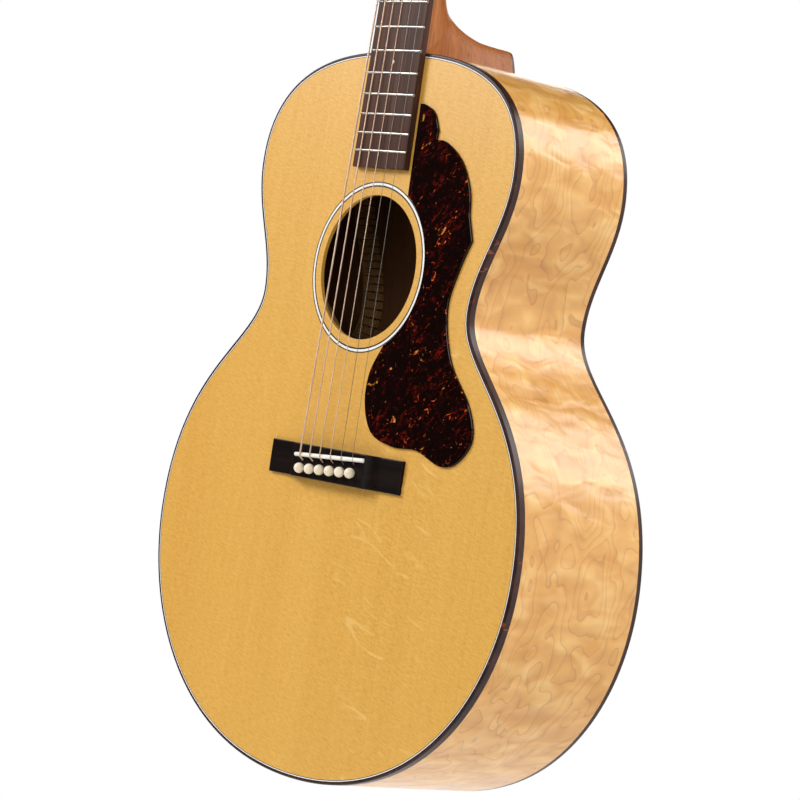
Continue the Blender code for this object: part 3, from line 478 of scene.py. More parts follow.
def spruce_top():
    """Amber spruce: fine growth rings, faint cross-grain silk, a few pale bear-claw strokes."""
    p = Paint("spruce_top")
    x, y, z = p.node("ShaderNodeSeparateXYZ", {"Vector": p.metres()}).outputs
    drift = p.blend(p.grain((3, 1, 2.2)), -0.006, 0.006)
    wavy = p.node("ShaderNodeCombineXYZ", {"X": p.calc("ADD", x, drift), "Y": y, "Z": z}).outputs[0]
    rings = p.noise(p.stretch(wavy, (760, 1, 3.5)), 3, 0.6)
    bands = p.noise(p.stretch(wavy, (42, 1, 1.0)), 3, 0.6)
    wide = p.noise(p.stretch(wavy, (9, 1, 0.8)), 1, 0.5)
    silk = p.grain((170, 1, 950), 3, 0.6, 0.5, lean(-14))
    stroke = p.grain((26, 1, 105), 1, 0.4, 1.6, lean(-16))
    zone = p.grain((6, 1, 6), 1, shift=(3.1, 0, 1.7))
    claw = p.times(p.mask(stroke, 0.64, 0.74), p.mask(zone, 0.5, 0.62))
    base = p.tones(wide, "D4983A", "E0A848")
    base = p.mix(base, p.ramp(bands, (0.30, "CB9036"), (0.5, "DCA646"), (0.72, "E6B656")), 0.3)
    base = p.mix(base, p.tones(rings, "BE8232", "E6B454", 0.35, 0.62), 0.2)
    base = p.mix(base, p.tones(silk, "C48A30", "F0C264", 0.34, 0.64), 0.32)
    base = p.mix(base, rgb("F4CC7C"), p.times(claw, 0.4))
    height = p.calc("ADD", p.times(rings, 0.3), p.times(silk, 0.5))
    return p.done(base, p.blend(silk, 0.36, 0.44), height, 0.08, 0.0001,
                  Coat_Weight=0.24, Coat_Roughness=0.34)


def maple_body():
    """Quilted maple: pillows, pale in their middles as painted sheen, over thin brown growth lines that
    close into loops.
    """
    p = Paint("maple_body")
    flow = p.node("ShaderNodeAttribute", attribute_name="flow").outputs["Vector"]

    def at(along, across):
        return p.stretch(flow, (along, across, 1))
    slow = p.noise(at(6, 22), 2, 0.4, 0.25)
    field = p.calc("ADD", slow, p.times(p.noise(at(34, 40), 1), 0.22))
    contour = p.calc("FRACT", p.times(field, 17.0))
    lines = p.ramp(contour, (0.0, 0.0), (0.5, 0.10), (0.84, 0.35), (0.94, 1.0), (0.99, 0.0))
    quilt = p.noise(at(76, 42), 1.4, 0.4, 0.6)
    pillow = p.node("ShaderNodeTexVoronoi", {"Vector": at(84, 46), "Scale": 1.0},
                    feature="SMOOTH_F1").outputs["Distance"]
    pores = p.noise(at(260, 1500))
    base = p.tones(p.noise(at(5, 8)), "D2943F", "E2AA58")
    # the quilt's light and dark patches: partly the wood's figure, partly painted sheen
    base = p.mix(base, p.ramp(quilt, (0.30, "B8742C"), (0.52, "DA9C48"), (0.70, "F8D48E")), 0.4)
    # pillows pale in the middle and darker at their edges: painted sheen on each raised pillow
    base = p.mix(base, p.tones(pillow, "F2C87E", "C88A3C", 0.12), 0.25)
    base = p.mix(base, rgb("9A5C22"), p.times(lines, 0.42))
    base = p.mix(base, rgb("B07A3C"), p.times(p.mask(pores, 0.6, 0.75), 0.18))
    height = p.calc("SUBTRACT", quilt, p.times(pillow, 0.6))
    return p.done(base, p.blend(quilt, 0.28, 0.38), height, 0.7, 0.0025, Specular_IOR_Level=0.42,
                  Coat_Weight=0.4, Coat_Roughness=0.2)


def bare_wood(name, dark, light, scale, rough=0.62):
    """Unfinished wood with its grain along Z; here in tones darkened with painted shade, for wood inside the
    body.
    """
    p = Paint(name)
    grain = p.grain((scale, scale, scale * 0.02), 4, 0.6, 0.3)
    broad = p.grain((scale * 0.12, scale * 0.12, 6))
    base = p.mix(p.tones(grain, dark, light), p.tones(broad, dark, light), 0.4)
    return p.done(base, p.blend(grain, rough - 0.06, rough + 0.1), grain, 0.3, 0.0002)


def mahogany():
    """Satin mahogany: open pores and ribbon along the neck."""
    p = Paint("mahogany")
    ribbon = p.grain((55, 55, 2.2), 3, 0.55, 0.4)
    fibre = p.grain((520, 520, 9), 3, 0.65)
    pore = p.mask(p.grain((900, 900, 60), 1), 0.60, 0.68)
    base = p.tones(ribbon, "8C4C1E", "AC682C")
    base = p.mix(base, p.tones(fibre, "7E4218", "B87238", 0.35, 0.65), 0.35)
    base = p.mix(base, rgb("54260F"), p.times(pore, 0.45))
    height = p.calc("SUBTRACT", p.times(fibre, 0.4), pore)
    return p.done(base, p.blend(fibre, 0.36, 0.5), height, 0.18, 0.00015, Specular_IOR_Level=0.22,
                  Coat_Weight=0.02, Coat_Roughness=0.3)


def dark_wood(name, dark, light, streak, along, rough, gloss=0.5):
    """Rosewood or ebony: close dark streaks and open pores along one axis."""
    p = Paint(name)
    fibre = p.grain([9 if axis == along else 700 for axis in "XYZ"], 3, 0.65)
    bands = p.grain([3 if axis == along else 130 for axis in "XYZ"], 3, 0.6, 0.3)
    base = p.tones(fibre, dark, light, 0.3, 0.72)
    base = p.mix(base, rgb(streak), p.times(p.mask(bands, 0.5, 0.72), 0.55))
    pore = p.ramp(fibre, (0.28, 1.0), (0.4, 0.0))
    height = p.calc("SUBTRACT", p.times(fibre, 0.5), p.times(pore, 0.6))
    return p.done(base, p.blend(bands, rough - 0.05, rough + 0.12), height, 0.25, 0.00015,
                  Specular_IOR_Level=gloss)


def tortoise_guard():
    """Nearly black celluloid: dim red clouds, small red and orange flecks, a few amber spots."""
    p = Paint("tortoise_guard")
    cloud = p.grain((26, 34, 40), 4, 0.62, 1.2, lean(37))
    streak = p.grain((170, 300, 340), 3, 0.6, 1.1, lean(37))
    flecks = p.grain((150, 230, 215), 2, 0.5, 1.4, lean(37), (5, 2, 1))
    spots = p.grain((85, 85, 110), 2, 0.5, 1.0, lean(37), (1, 7, 3))
    red = p.times(p.ramp(cloud, (0.44, 0.05), (0.66, 1.0)), p.mask(streak, 0.52, 0.72))
    base = p.mix(rgb("0D0302"), rgb("7C150A"), red)
    orange = p.times(p.mask(flecks, 0.67, 0.71), p.ramp(cloud, (0.42, 0.15), (0.54, 1.0)))
    base = p.mix(base, p.tones(flecks, "A8220C", "F07C30", 0.67, 0.78), orange)
    amber = p.times(p.mask(spots, 0.68, 0.73), p.ramp(flecks, (0.40, 0.2), (0.55, 1.0)))
    base = p.mix(base, rgb("D08436"), amber)
    return p.done(base, p.blend(cloud, 0.07, 0.11), streak, 0.02, Specular_IOR_Level=0.3,
                  Coat_Weight=0.08, Coat_Roughness=0.06)


def tortoise_binding():
    """Dark brown binding with sparse red flecks."""
    p = Paint("tortoise_binding")
    cloud = p.grain((45, 45, 45), 3, 0.6, 1.0)
    fleck = p.grain((140, 140, 140), 2, 0.5, 0.8, shift=(2, 4, 1))
    base = p.tones(cloud, "26120F", "40241C", 0.35, 0.65)
    base = p.mix(base, p.tones(cloud, "6A281C", "94482A", 0.4, 0.6), p.mask(fleck, 0.67, 0.72))
    return p.done(base, p.blend(cloud, 0.26, 0.38), cloud, 0.05, 0.0003, Specular_IOR_Level=0.25)


def plastic(name, low, high, rough, mottle=90):
    """Plastic or bone: faint mottling and a polished skin that isn't quite even."""
    p = Paint(name)
    cloud = p.grain((mottle, mottle, mottle), 3, 0.6)
    grit = p.grain((1500, 1500, 1500), 1)
    return p.done(p.tones(cloud, low, high), p.blend(cloud, rough - 0.04, rough + 0.06), grit,
                  0.04, 0.00005)


def metal(name, low, high, rough, streak=(200, 200, 200), metallic=1.0):
    """Plated or drawn metal: fine streaks, worn unevenly."""
    p = Paint(name)
    cloud = p.grain(streak, 3, 0.6)
    worn = p.grain((40, 40, 40))
    return p.done(p.tones(cloud, low, high), p.blend(worn, rough - 0.06, rough + 0.10), cloud,
                  0.05, 0.00005, Metallic=metallic)


def bronze_string():
    """Phosphor bronze wrap: ridges across the string, darker between them as painted shade, and a slight
    tarnish.
    """
    p = Paint("bronze_string")
    along = p.node("ShaderNodeSeparateXYZ", {"Vector": p.metres()}).outputs[2]
    ridge = p.calc("SINE", p.times(along, TAU / (WRAP_PITCH / 1000)))
    tarnish = p.grain((40, 40, 30), 3, 0.6)
    # darker bronze between the wraps: painted shade in the grooves
    base = p.mix(p.tones(tarnish, "E6BE9E", "F8DEC8"), rgb("9A6A4C"), p.blend(ridge, 0.20, 0.0))
    return p.done(base, p.blend(tarnish, 0.32, 0.42), ridge, 0.22, 0.0001, Metallic=0.5)


def pearl():
    """Mother of pearl: cool and warm clouds with fine waves."""
    p = Paint("pearl")
    cloud = p.grain((500, 500, 300), 3, 0.6, 2.0)
    base = p.ramp(cloud, (0.3, "CFE0DC"), (0.5, "F2EEE6"), (0.7, "E6D3DC"))
    return p.done(base, p.blend(cloud, 0.15, 0.3), cloud, 0.06, 0.0001, Coat_Weight=0.3)


def floor_paint():
    p = Paint("studio_floor")
    mottle = p.grain((3, 3, 3), 3)
    return p.done(p.tones(mottle, "DEDEDD", "E4E4E4"), 0.7, mottle, 0.0,
                  Emission_Color=(1, 1, 1, 1), Emission_Strength=0.22)


SPRUCE = spruce_top()
MAPLE = maple_body()
MAHOGANY = mahogany()
ROSEWOOD = dark_wood("rosewood", "26140D", "5C3A2C", "70402A", "Z", 0.36, 0.15)
EBONY = dark_wood("ebony", "0A0504", "170E0A", "24160F", "X", 0.30, 0.18)
HEAD_EBONY = dark_wood("ebony_head", "0E0A09", "221A17", "2C201A", "Z", 0.30)
GUARD = tortoise_guard()
BINDING = tortoise_binding()
WHITE = plastic("white_trim", "EDEBE6", "F8F7F3", 0.30)
BLACK = plastic("black_trim", "140806", "20100C", 0.4)
BONE = plastic("bone", "E9E5DA", "F6F3EA", 0.34, 160)
CREAM = plastic("cream_plastic", "EFDDC0", "F9ECD6", 0.28, 120)
BUTTON = plastic("tuner_button", "E6D2A8", "F4E6C6", 0.22, 150)
BRONZE = bronze_string()
STEEL = metal("steel_string", "948C84", "B8B0A8", 0.34, metallic=0.75)
NICKEL = metal("nickel", "A9A59D", "CFCBC4", 0.24)
FRET_METAL = metal("fret_nickel", "A8A298", "CCC6BC", 0.30, (60, 300, 300))
GEAR_BRASS = metal("gear_brass", "B08A52", "D2AE74", 0.34)
TRUSS = metal("truss_steel", "5C5C5E", "84848A", 0.45)
PEARL = pearl()
# spruce darker than bare bracing wood: painted shade inside the body
SHADED_BRACING = bare_wood("spruce_bracing", "8A602E", "B0864E", 420)
# maple darkened from pale bare wood to brown: painted shade inside the body
SHADED_BARE_MAPLE = bare_wood("maple_plate", "5E3A20", "7E5230", 300)
FINISHES = {"white": WHITE, "black": BLACK}


# ---- body -------------------------------------------------------------------------------
def set_flow(obj, values):
    """Stores where each vertex lies on the sawn sheet: along it, across it."""
    layer = obj.data.attributes.new("flow", "FLOAT_VECTOR", "POINT")
    layer.data.foreach_set("vector", [number * 0.001 for value in values for number in value])


def rim(profile, points, back=False):
    """A band round the body with a section of (inset, depth) points."""
    insets = {step: inset(points, step) for step in {step for step, _ in profile}}
    rings = []
    for i in range(len(points)):
        ring = []
        for step, depth in profile:
            x, z = insets[step][i]
            ring.append((x, back_plane(z) - depth if back else depth, z))
        rings.append(ring)
    return lofted(rings, along=True)


def edge_round(radius, steps=5):
    """A quarter turn from the side face to the front face, as (inset, depth)."""
    return [(radius * (1 - math.cos(turn)), radius * (1 - math.sin(turn)))
            for turn in through(math.pi / 2, steps)]


def make_edges():
    outline = whole_outline()
    for word, depth in (("top", TOP_BINDING_DEPTH), ("back", BACK_BINDING_DEPTH)):
        section = [(0, depth)] + edge_round(BINDING_CORNER) + [(BINDING_WIDTH, 0), (BINDING_WIDTH, depth)]
        name = "binding_" + word
        piece(name + "_look", rim(section, outline, word == "back"), BINDING, stands_for=[name])
    start = BINDING_WIDTH + PURFLING_WIDTH
    for word, width, finish in PURFLING:
        section = [(start - width, 0), (start, 0), (start, PLATE), (start - width, PLATE)]
        piece("purfling_" + word, rim(section, outline), FINISHES[finish],
              stands_for=["purfling_top"], slot="white_trim")
        start -= width


def disc_edge(radius, *depths):
    """Rings round the soundhole, from front to back."""
    return [flat(hole_circle(radius), depth) for depth in depths]


def pin_keyhole(i):
    """The way through the soundboard for a pin and the string beside it."""
    x, z = pin_place(i)
    free = STRING_DIAMETERS[i] / 2 + STRING_PLAY
    gap = math.asin(free / PIN_WAY)
    arc = [gap + turn for turn in through(TAU - 2 * gap, 24)]
    far = z + PIN_TOP + 0.4 + 2 * free
    return [(x + PIN_WAY * math.sin(turn), z + PIN_WAY * math.cos(turn)) for turn in arc] + [
        (x - free, far), (x + free, far)]


def make_soundboard():
    """A plate with its edge, six keyholes, and a soundhole inside the rosette's channel."""
    inner = ROSETTE_OUTER - sum(width for _, width, _ in ROSETTE)
    ease = 0.35
    outlines = [inset(whole_outline(), BINDING_WIDTH + PURFLING_WIDTH)]
    outlines += [pin_keyhole(i) for i in range(6)]
    stacks = [[flat(outline, 0), flat(outline, PLATE)] for outline in outlines]
    stacks.append(disc_edge(ROSETTE_OUTER, 0, ROSETTE_DEPTH) + disc_edge(inner, ROSETTE_DEPTH, 0)
                  + disc_edge(HOLE_RADIUS + ease, 0) + disc_edge(HOLE_RADIUS + ease * 0.3, ease * 0.3)
                  + disc_edge(HOLE_RADIUS, ease, PLATE))
    piece("soundboard_look", slab(stacks), SPRUCE, stands_for=["soundboard"], angle=30)
    for word, width, finish in ROSETTE:
        ring = slab([disc_edge(radius, 0, ROSETTE_DEPTH) for radius in (inner + width, inner)])
        piece("rosette_" + word, ring, FINISHES[finish], stands_for=["rosette"], slot="white_trim")
        inner += width


def side_stations(x_top, x_tail):
    """Treble half between two distances from the centre line: (x, z, inwards x, z, run)."""
    points, whole = half_outline(), whole_outline()
    stations, run = [], 0.0
    for i, (x, z) in enumerate(points):
        if i:
            run += math.dist(points[i - 1], (x, z))
        before, after = whole[i - 1], whole[(i + 1) % len(whole)]
        way = Vector((after[0] - before[0], after[1] - before[1])).normalized()
        if x >= (x_top if i < len(points) // 2 else x_tail):
            stations.append((x, z, way.y, -way.x, run))
    return stations


def make_sides():
    front = TOP_BINDING_DEPTH
    for word, side in SIDES:
        rings, flow = [], []
        for x, z, nx, nz, run in side_stations(SIDE_START, 0.1):
            ring = []
            for step, share in ((0, 0), (0, 0.33), (0, 0.67), (0, 1), (SIDE, 1), (SIDE, 0)):
                back = back_plane(z) - BACK_BINDING_DEPTH
                y = front + (back - front) * share
                ring.append((side * (x + nx * step), y, z + nz * step))
                flow.append((run, y + 0.3 * step, 0))
            rings.append(ring)
        obj = new_object("side_%s_look" % word, lofted(rings))
        set_flow(obj, flow)
        dress(obj, MAPLE, stands_for=["side_" + word])
        # the side's inner faces take the maple darkened with painted shade
        line_with(obj, SHADED_BARE_MAPLE, BODY_HEART)


def make_back():
    """The back plate is arched a little between its rims, and its halves are bookmatched."""
    edge = inset(whole_outline(), BINDING_WIDTH)
    centre = Vector((0, 20))
    shares = [1, 0.985, 0.95, 0.88, 0.78, 0.66, 0.52, 0.38, 0.24, 0.1, 0.03, 0.004]
    rings, flow = [], []
    for offset, order in ((0, reversed(shares)), (PLATE, shares)):
        for share in order:
            ring = []
            for x, z in edge:
                px, pz = centre + (Vector((x, z)) - centre) * share
                ring.append((px, back_plane(pz) + BACK_ARCH * (1 - share * share) - offset, pz))
                flow.append((pz * 0.8 + 1000, abs(px) * 1.3, 0))
            rings.append(ring)
    obj = new_object("back_plate_look", lofted(rings))
    set_flow(obj, flow)
    dress(obj, MAPLE, stands_for=["back_plate"])
    # the back's inner faces take the maple darkened with painted shade
    line_with(obj, SHADED_BARE_MAPLE, IN_FRONT)


def station_at(stations, run):
    """A station at any distance along the side, between two given ones."""
    for a, b in zip(stations, stations[1:]):
        if run <= b[4]:
            share = (run - a[4]) / (b[4] - a[4])
            return [p + (q - p) * share for p, q in zip(a, b)]
    return stations[-1]


def make_linings():
    """Kerfed strips: a row of small blocks left on a thin web."""
    block_shape = [(0, 0), (LINING_WIDTH, 0), (LINING_WIDTH, 4), (1.6, LINING_DEPTH), (0, LINING_DEPTH)]
    web_shape = [(0, 0.3), (1.2, 0.3), (1.2, LINING_DEPTH - 0.4), (0, LINING_DEPTH - 0.4)]
    stations = side_stations(33, 41)
    start, stop = stations[0][4], stations[-1][4]

    def ring(run, shape, face, side):
        x, z, nx, nz, _ = station_at(stations, run)
        made = []
        for step, depth in shape:
            y = PLATE + depth if face == "top" else back_plane(z) - PLATE - depth
            made.append((side * (x + nx * (SIDE + step)), y, z + nz * (SIDE + step)))
        return made

    for face in ("top", "back"):
        for word, side in SIDES:
            parts = []
            for k in range(int((stop - start) / KERF_PITCH)):
                ends = start + KERF_PITCH * k, start + KERF_PITCH * (k + 1) - KERF
                parts.append(lofted([ring(end, block_shape, face, side) for end in ends]))
            parts.append(lofted([ring(start + run, web_shape, face, side)
                                 for run in through(stop - start, 60)]))
            name = "lining_%s_%s" % (face, word)
            # the linings take spruce darkened with painted shade
            piece(name + "_look", merged(parts), SHADED_BRACING, stands_for=[name], angle=20)


def make_pickguard():
    """Scalloped guard with a bevelled edge: two lobes, a point, and a foot below the hole."""
    lobes = [(31.2, 246), (37, 245.6), (47.4, 240.2), (54.4, 228)]
    shoulder = [(53.4, 221.8), (65, 220.3), (83.2, 208.3), (95.6, 189), (99.8, 169)]
    foot = [(105.9, 154.6), (97.2, 133.5), (91.5, 107), (103, 73), (128, 44.6), (136.2, 22),
            (123.6, 5.2), (107, 1.9), (82, 9.5), (57, 9.3), (32.5, 16.2), (21, 35.5),
            (20.8, 57), (30.6, 77)]
    outline = smooth_run(lobes) + [Vector(lobes[-1])] + smooth_run(shoulder) + smooth_run(foot)
    first, last = math.radians(-59.5), math.radians(57.8)
    for turn in through(last - first, 48):
        x, z = polar(ROSETTE_OUTER + 0.8, first + turn)
        outline.append((x, HOLE_Z + z))
    bevel = [(0.35, 0.0), (0.1, 0.25), (0.0, 0.8)]
    stack = [flat(inset(outline, step), GUARD_FACE + drop) for step, drop in bevel]
    piece("pickguard_look", slab([stack + [flat(outline, 0)]]), GUARD,
          stands_for=["pickguard"], angle=20)


# ---- bridge and strings -----------------------------------------------------------------
def pin_place(i):
    x = (i - 2.5) * PIN_SPACING
    return x, PIN_Z + SLANT * x


def crown_drop(x):
    """How far the fretboard's crown has fallen at a distance from the middle."""
    return x * x / (2 * BOARD_RADIUS)


def post_place(i):
    """Side and height of string i's tuner, in the head's frame."""
    return (-1, POST_Z[i]) if i < 3 else (1, POST_Z[5 - i])


def post_contact(i, nut, reach):
    """Where a string leaving the nut touches the inner side of its post's wraps."""
    side, height = post_place(i)
    to_head = HEAD.inverted() @ GUITAR
    local = to_head @ nut
    start = Vector((local.x, local.z))
    away = Vector((side * POST_X, height)) - start
    swing = math.asin(reach / away.length) * side
    run = Matrix.Rotation(swing, 2) @ away.normalized()
    touch = start + run * math.sqrt(away.length ** 2 - reach ** 2)
    return to_head.inverted() @ Vector((touch.x, POST_WRAP_Y, touch.y))


def string_route(i):
    """Up the pin hole, over saddle and nut, to the tuner post."""
    radius = STRING_DIAMETERS[i] / 2
    pin_x, pin_z = pin_place(i)
    rise_z = pin_z + PIN_TOP + 0.4 + radius
    saddle_x = (i - 2.5) * SADDLE_SPREAD
    height = STRING_AT_SADDLE - crown_drop(saddle_x)
    bend = SADDLE_THICKNESS / 2 + radius
    crown_z = SADDLE_Z + SLANT * saddle_x
    low = [Vector((pin_x, 15, rise_z)), Vector((pin_x, -5.6, rise_z))]
    points = []
    for k in range(9):
        turn = math.radians(48 * (1 - k / 8))
        points.append(Vector((saddle_x, -height + bend * (1 - math.cos(turn)),
                              crown_z - bend * math.sin(turn))))
    route = softened(low + [points[0]], 1.6)[:-1] + points
    nut_x = (i - 2.5) * NUT_SPREAD
    nut = Vector((nut_x, -STRING_AT_NUT + crown_drop(nut_x), SCALE + 0.8))
    end = post_contact(i, nut, POST_WAIST + radius)
    return route + softened([points[-1], nut, end], 2)[1:]


def make_bridge():
    """Full height in the middle, scooped down to thin wings, with eased edges."""
    stations = [-BRIDGE_HALF, -BRIDGE_HALF + 0.4, -BRIDGE_CENTRE_HALF - BRIDGE_RAMP - 3]
    stations += [-BRIDGE_CENTRE_HALF - BRIDGE_RAMP * (1 - k / 16) for k in range(17)]
    stations += [-x for x in reversed(stations)]
    ease = 0.7
    rings = []
    for x in stations:
        share = max(0.0, min(1.0, (abs(x) - BRIDGE_CENTRE_HALF) / BRIDGE_RAMP))
        top = BRIDGE_WING + (BRIDGE_HEIGHT - BRIDGE_WING) * (1 - share) ** 2
        shrink = 0.4 if abs(x) > BRIDGE_HALF - 0.1 else 0.0
        top -= shrink
        high, low = BRIDGE_UPPER_Z - shrink, BRIDGE_LOWER_Z + shrink
        ring = [(x, 0, high)]
        ring += [(x, -top + depth, high - step) for step, depth in edge_round(ease)]
        ring += [(x, -top + depth, low + step) for step, depth in reversed(edge_round(ease))]
        rings.append(ring + [(x, 0, low)])
    bridge = new_object("bridge_look", lofted(rings))
    slot = block((-SADDLE_HALF, -20, -SADDLE_THICKNESS / 2), (SADDLE_HALF, -3, SADDLE_THICKNESS / 2))
    saddle_slot = new_object("saddle_slot", slot, GUITAR @ SADDLE_PLACE)
    ways, slots, ramps = [], [], []
    for i in range(6):
        x, z = pin_place(i)
        hole = turned([(PIN_WAY, -20), (PIN_WAY, 14)], 24)
        ways.append(new_object("pin_way", placed(hole, aim((x, 0, z), (0, -1, 0)))))
        free = STRING_DIAMETERS[i] / 2 + STRING_PLAY
        route = string_route(i)
        far = z + PIN_TOP + 0.4 + 2 * free
        slots.append(new_object("string_slot", block((x - free, -6.2, z), (x + free, 16, far))))
        first, last = Vector((x, -5.6, far - free)), route[12]
        ramp = swept([first - (last - first) * 0.25, last + (last - first) * 0.3], free + 0.1, 10)
        ramps.append(new_object("string_ramp", ramp))
    carve(bridge, [saddle_slot] + ways + slots + ramps)
    dress(bridge, EBONY, stands_for=["bridge"], angle=28)


def make_saddle():
    """Bone strip with a rounded crown and rounded ends."""
    half, end = SADDLE_THICKNESS / 2, 2.4
    stations = [-SADDLE_HALF + end * (1 - math.cos(math.pi / 2 * k / 6)) for k in range(6)]
    stations += [-SADDLE_HALF + end + (2 * SADDLE_HALF - 2 * end) * k / 30 for k in range(31)]
    stations += [-x for x in reversed(stations[:6])]
    rings = []
    for x in stations:
        beyond = max(0.0, abs(x) - SADDLE_HALF + end)
        fall = end - math.sqrt(max(0.0, end * end - beyond * beyond))
        crown = STRING_AT_SADDLE - crown_drop(min(abs(x), 2.5 * SADDLE_SPREAD)) - 0.35
        crown -= max(0.0, abs(x) - 2.5 * SADDLE_SPREAD) * 0.12 + fall
        rings.append([(x, -3.2, -half), (x, -3.2, half)]
                     + [(x, -crown + half * (1 - math.sin(turn)), half * math.cos(turn))
                        for turn in through(math.pi, 10)])
    piece("saddle_look", lofted(rings), BONE, GUITAR @ SADDLE_PLACE, stands_for=["saddle"], angle=40)


def make_pins():
    """Ball-headed pins: a collar on the bridge, a fluted slot for the string in the stem."""
    ball, lift = 3.7, 2.5
    dome = [(ball * math.sin(turn), lift + ball * math.cos(turn))
            for turn in [math.pi * k / 16 for k in range(12)]]
    stem = [(PIN_TOP, 0), (PIN_TOP, -0.2), (PIN_TIP, -PIN_LENGTH + 1),
            (PIN_TIP - 0.6, -PIN_LENGTH), (0, -PIN_LENGTH - 0.6)]
    for i in range(6):
        x, z = pin_place(i)
        name = "bridge_pin_%d" % (i + 1)
        place = aim((x, -BRIDGE_HEIGHT, z), (0, -1, 0))
        pin = new_object(name + "_look", placed(turned(dome + stem), place))
        flute = swept([(x, -BRIDGE_HEIGHT + 0.6, z + PIN_TOP + 0.25),
                       (x, PIN_LENGTH, z + PIN_TIP + 0.25)], 0.75, 12)
        carve(pin, [new_object("flute", flute)])
        dress(pin, CREAM, body=name, stands_for=[name], angle=40)


def string_finish(i):
    return BRONZE if i < WOUND_STRINGS else STEEL


def ball_end(place):
    """The brass ball that holds a string under the bridge plate."""
    section = [(1.9 + 0.55 * math.cos(turn), 0.9 * math.sin(turn)) for turn in around(8)]
    return placed(turned(section, 20, closed=True), aim(place, (1, 0, 0)))


def make_strings():
    for i, diameter in enumerate(STRING_DIAMETERS):
        name = "string_%d" % (6 - i)
        route = string_route(i)
        ball = ball_end(route[0] + Vector((0, 0.4, 0)))
        piece(name + "_look", merged([swept(route, diameter / 2), ball]), string_finish(i),
              stands_for=[name], angle=60)


# ---- neck -------------------------------------------------------------------------------
def board_half(z):
    return NUT_HALF + BOARD_TAPER * (SCALE - z)


def heel_half(y):
    share = max(0.0, min(1.0, y / CAP_FACE))
    wide = board_half(BODY_TOP) - 0.5
    return wide + (CAP_HALF - wide) * share ** 0.75


def head_half(height):
    """Half the head's width, from a hollow neck curve to nearly straight sides."""
    places = [(0, NUT_HALF - 0.2), (8, 22.6), (17, 27.5), (27, 31),
              (60, 32.4), (110, 34.2), (HEAD_SHOULDER, HEAD_TOP_HALF)]
    run = smooth_run(places, 10) + [Vector(places[-1])]
    for a, b in zip(run, run[1:]):
        if height <= b.x:
            return a.y + (b.y - a.y) * (height - a.x) / (b.x - a.x)
    return HEAD_TOP_HALF


def section(half, power, steps=24):
    """Half a superellipse as (x, depth share), from the treble edge to the bass edge."""
    shares = [math.cos(turn) for turn in through(math.pi, steps)]
    return [(half * share, max(0.0, 1 - abs(share) ** power) ** (1 / power)) for share in shares]


def neck_section(half, y):
    """Half ellipse on the neck; on the heel a blunt wedge that narrows to its nose."""
    heel = min(1.0, 1.6 * y / CAP_FACE)
    return [(x * (1 - HEEL_NARROWING * heel * depth), depth)
            for x, depth in section(half, 2 + 2 * heel)]


def flat_run(half, steps=24):
    """Points across a section's flat face, from bass to treble, without its corners."""
    return [half * (2 * k / steps - 1) for k in range(1, steps)]


def heel_and_neck_rings():
    """Sections from the heel's foot up to the nut: (edge y, edge z, back y, back z)."""
    foot = [(95.4, 95.4, 300.6), (76, 81, 300.7), (56, 66, 301.5), (36, 52.5, 304.4),
            (17, 42, 308.7), (0, 34.3, 314.4)]
    stations = [(y, BODY_TOP, back_y, back_z) for y, back_y, back_z in foot]
    stations += [(0, 297, 28.8, 319.5), (0, 312, 24.4, 328.5), (0, 338, NECK_DEPTH_HEEL + 0.4, 347),
                 (0, SCALE - 200, 17.2, SCALE - 199),
                 (0, SCALE - 60, NECK_DEPTH_NUT + 1, SCALE - 60),
                 (0, SCALE - 14, NECK_DEPTH_NUT + 0.2, SCALE - 14)]
    fine = smooth_run(stations, 6) + [Vector(stations[-1])]
    fine[0] = Vector(stations[0])
    rings = []
    for edge_y, edge_z, back_y, back_z in fine:
        edge_y, edge_z = max(edge_y, 0.0), max(edge_z, BODY_TOP)
        half = heel_half(edge_y) if edge_y > 0 else board_half(edge_z) - 0.5
        centre = Vector((0, edge_y, edge_z))
        rise = Vector((0, back_y, back_z)) - centre
        ring = [centre + Vector((x, 0, 0)) + rise * depth for x, depth in neck_section(half, edge_y)]
        rings.append(ring + [centre + Vector((x, 0, 0)) for x in flat_run(half)])
    return rings


def head_rings():
    """Sections of the head, from a half ellipse at the nut to a block with an arched tip."""
    to_guitar = GUITAR.inverted() @ HEAD
    rings = []
    for height in [0, 3, 6, 9, 12, 16, 20, 25, 30, 40, 60, 85, 110, 130, 146, HEAD_SHOULDER]:
        power = 2 + 14 * min(1.0, height / 26) ** 1.3
        bow = HEAD_ARCH * max(0.0, (height - 110) / (HEAD_SHOULDER - 110))
        half = head_half(height)
        curve = section(half, power)
        curve += [(x, 0) for x, _ in reversed(curve[1:-1])]
        rings.append([to_guitar @ Vector((x, HEAD_THICKNESS * depth, height + bow * (1 - (x / half) ** 2)))
                      for x, depth in curve])
    return rings


def post_ways(radius, low, high):
    """Cutters round all six posts, between two heights above the head's face."""
    return [new_object("post_way", turned([(radius, low), (radius, high)], 28),
                       HEAD @ aim((side * POST_X, 0, height), (0, -1, 0)))
            for side in (-1, 1) for height in POST_Z]


def close_end(work, start, count):
    """Fills a ring of the neck with strips between its curve and its flat face."""
    for j in range(count // 2):
        corners = [start + j, start + j + 1, start + (count - j - 1) % count, start + (count - j) % count]
        work.faces.new([work.verts[corner] for corner in dict.fromkeys(corners)])


def make_neck():
    rings = heel_and_neck_rings() + head_rings()
    work = lofted(rings, caps=False)
    work.verts.ensure_lookup_table()
    count = len(rings[0])
    close_end(work, 0, count)
    close_end(work, (len(rings) - 1) * count, count)
    neck = new_object("neck_look", work)
    carve(neck, [new_object("tenon", block(*TENON))], "UNION")
    carve(neck, post_ways(POST_HOLE, -30, 10) + [new_object("truss_slot", block(*TRUSS_SLOT))])
    dress(neck, MAHOGANY, stands_for=["neck"], angle=50)


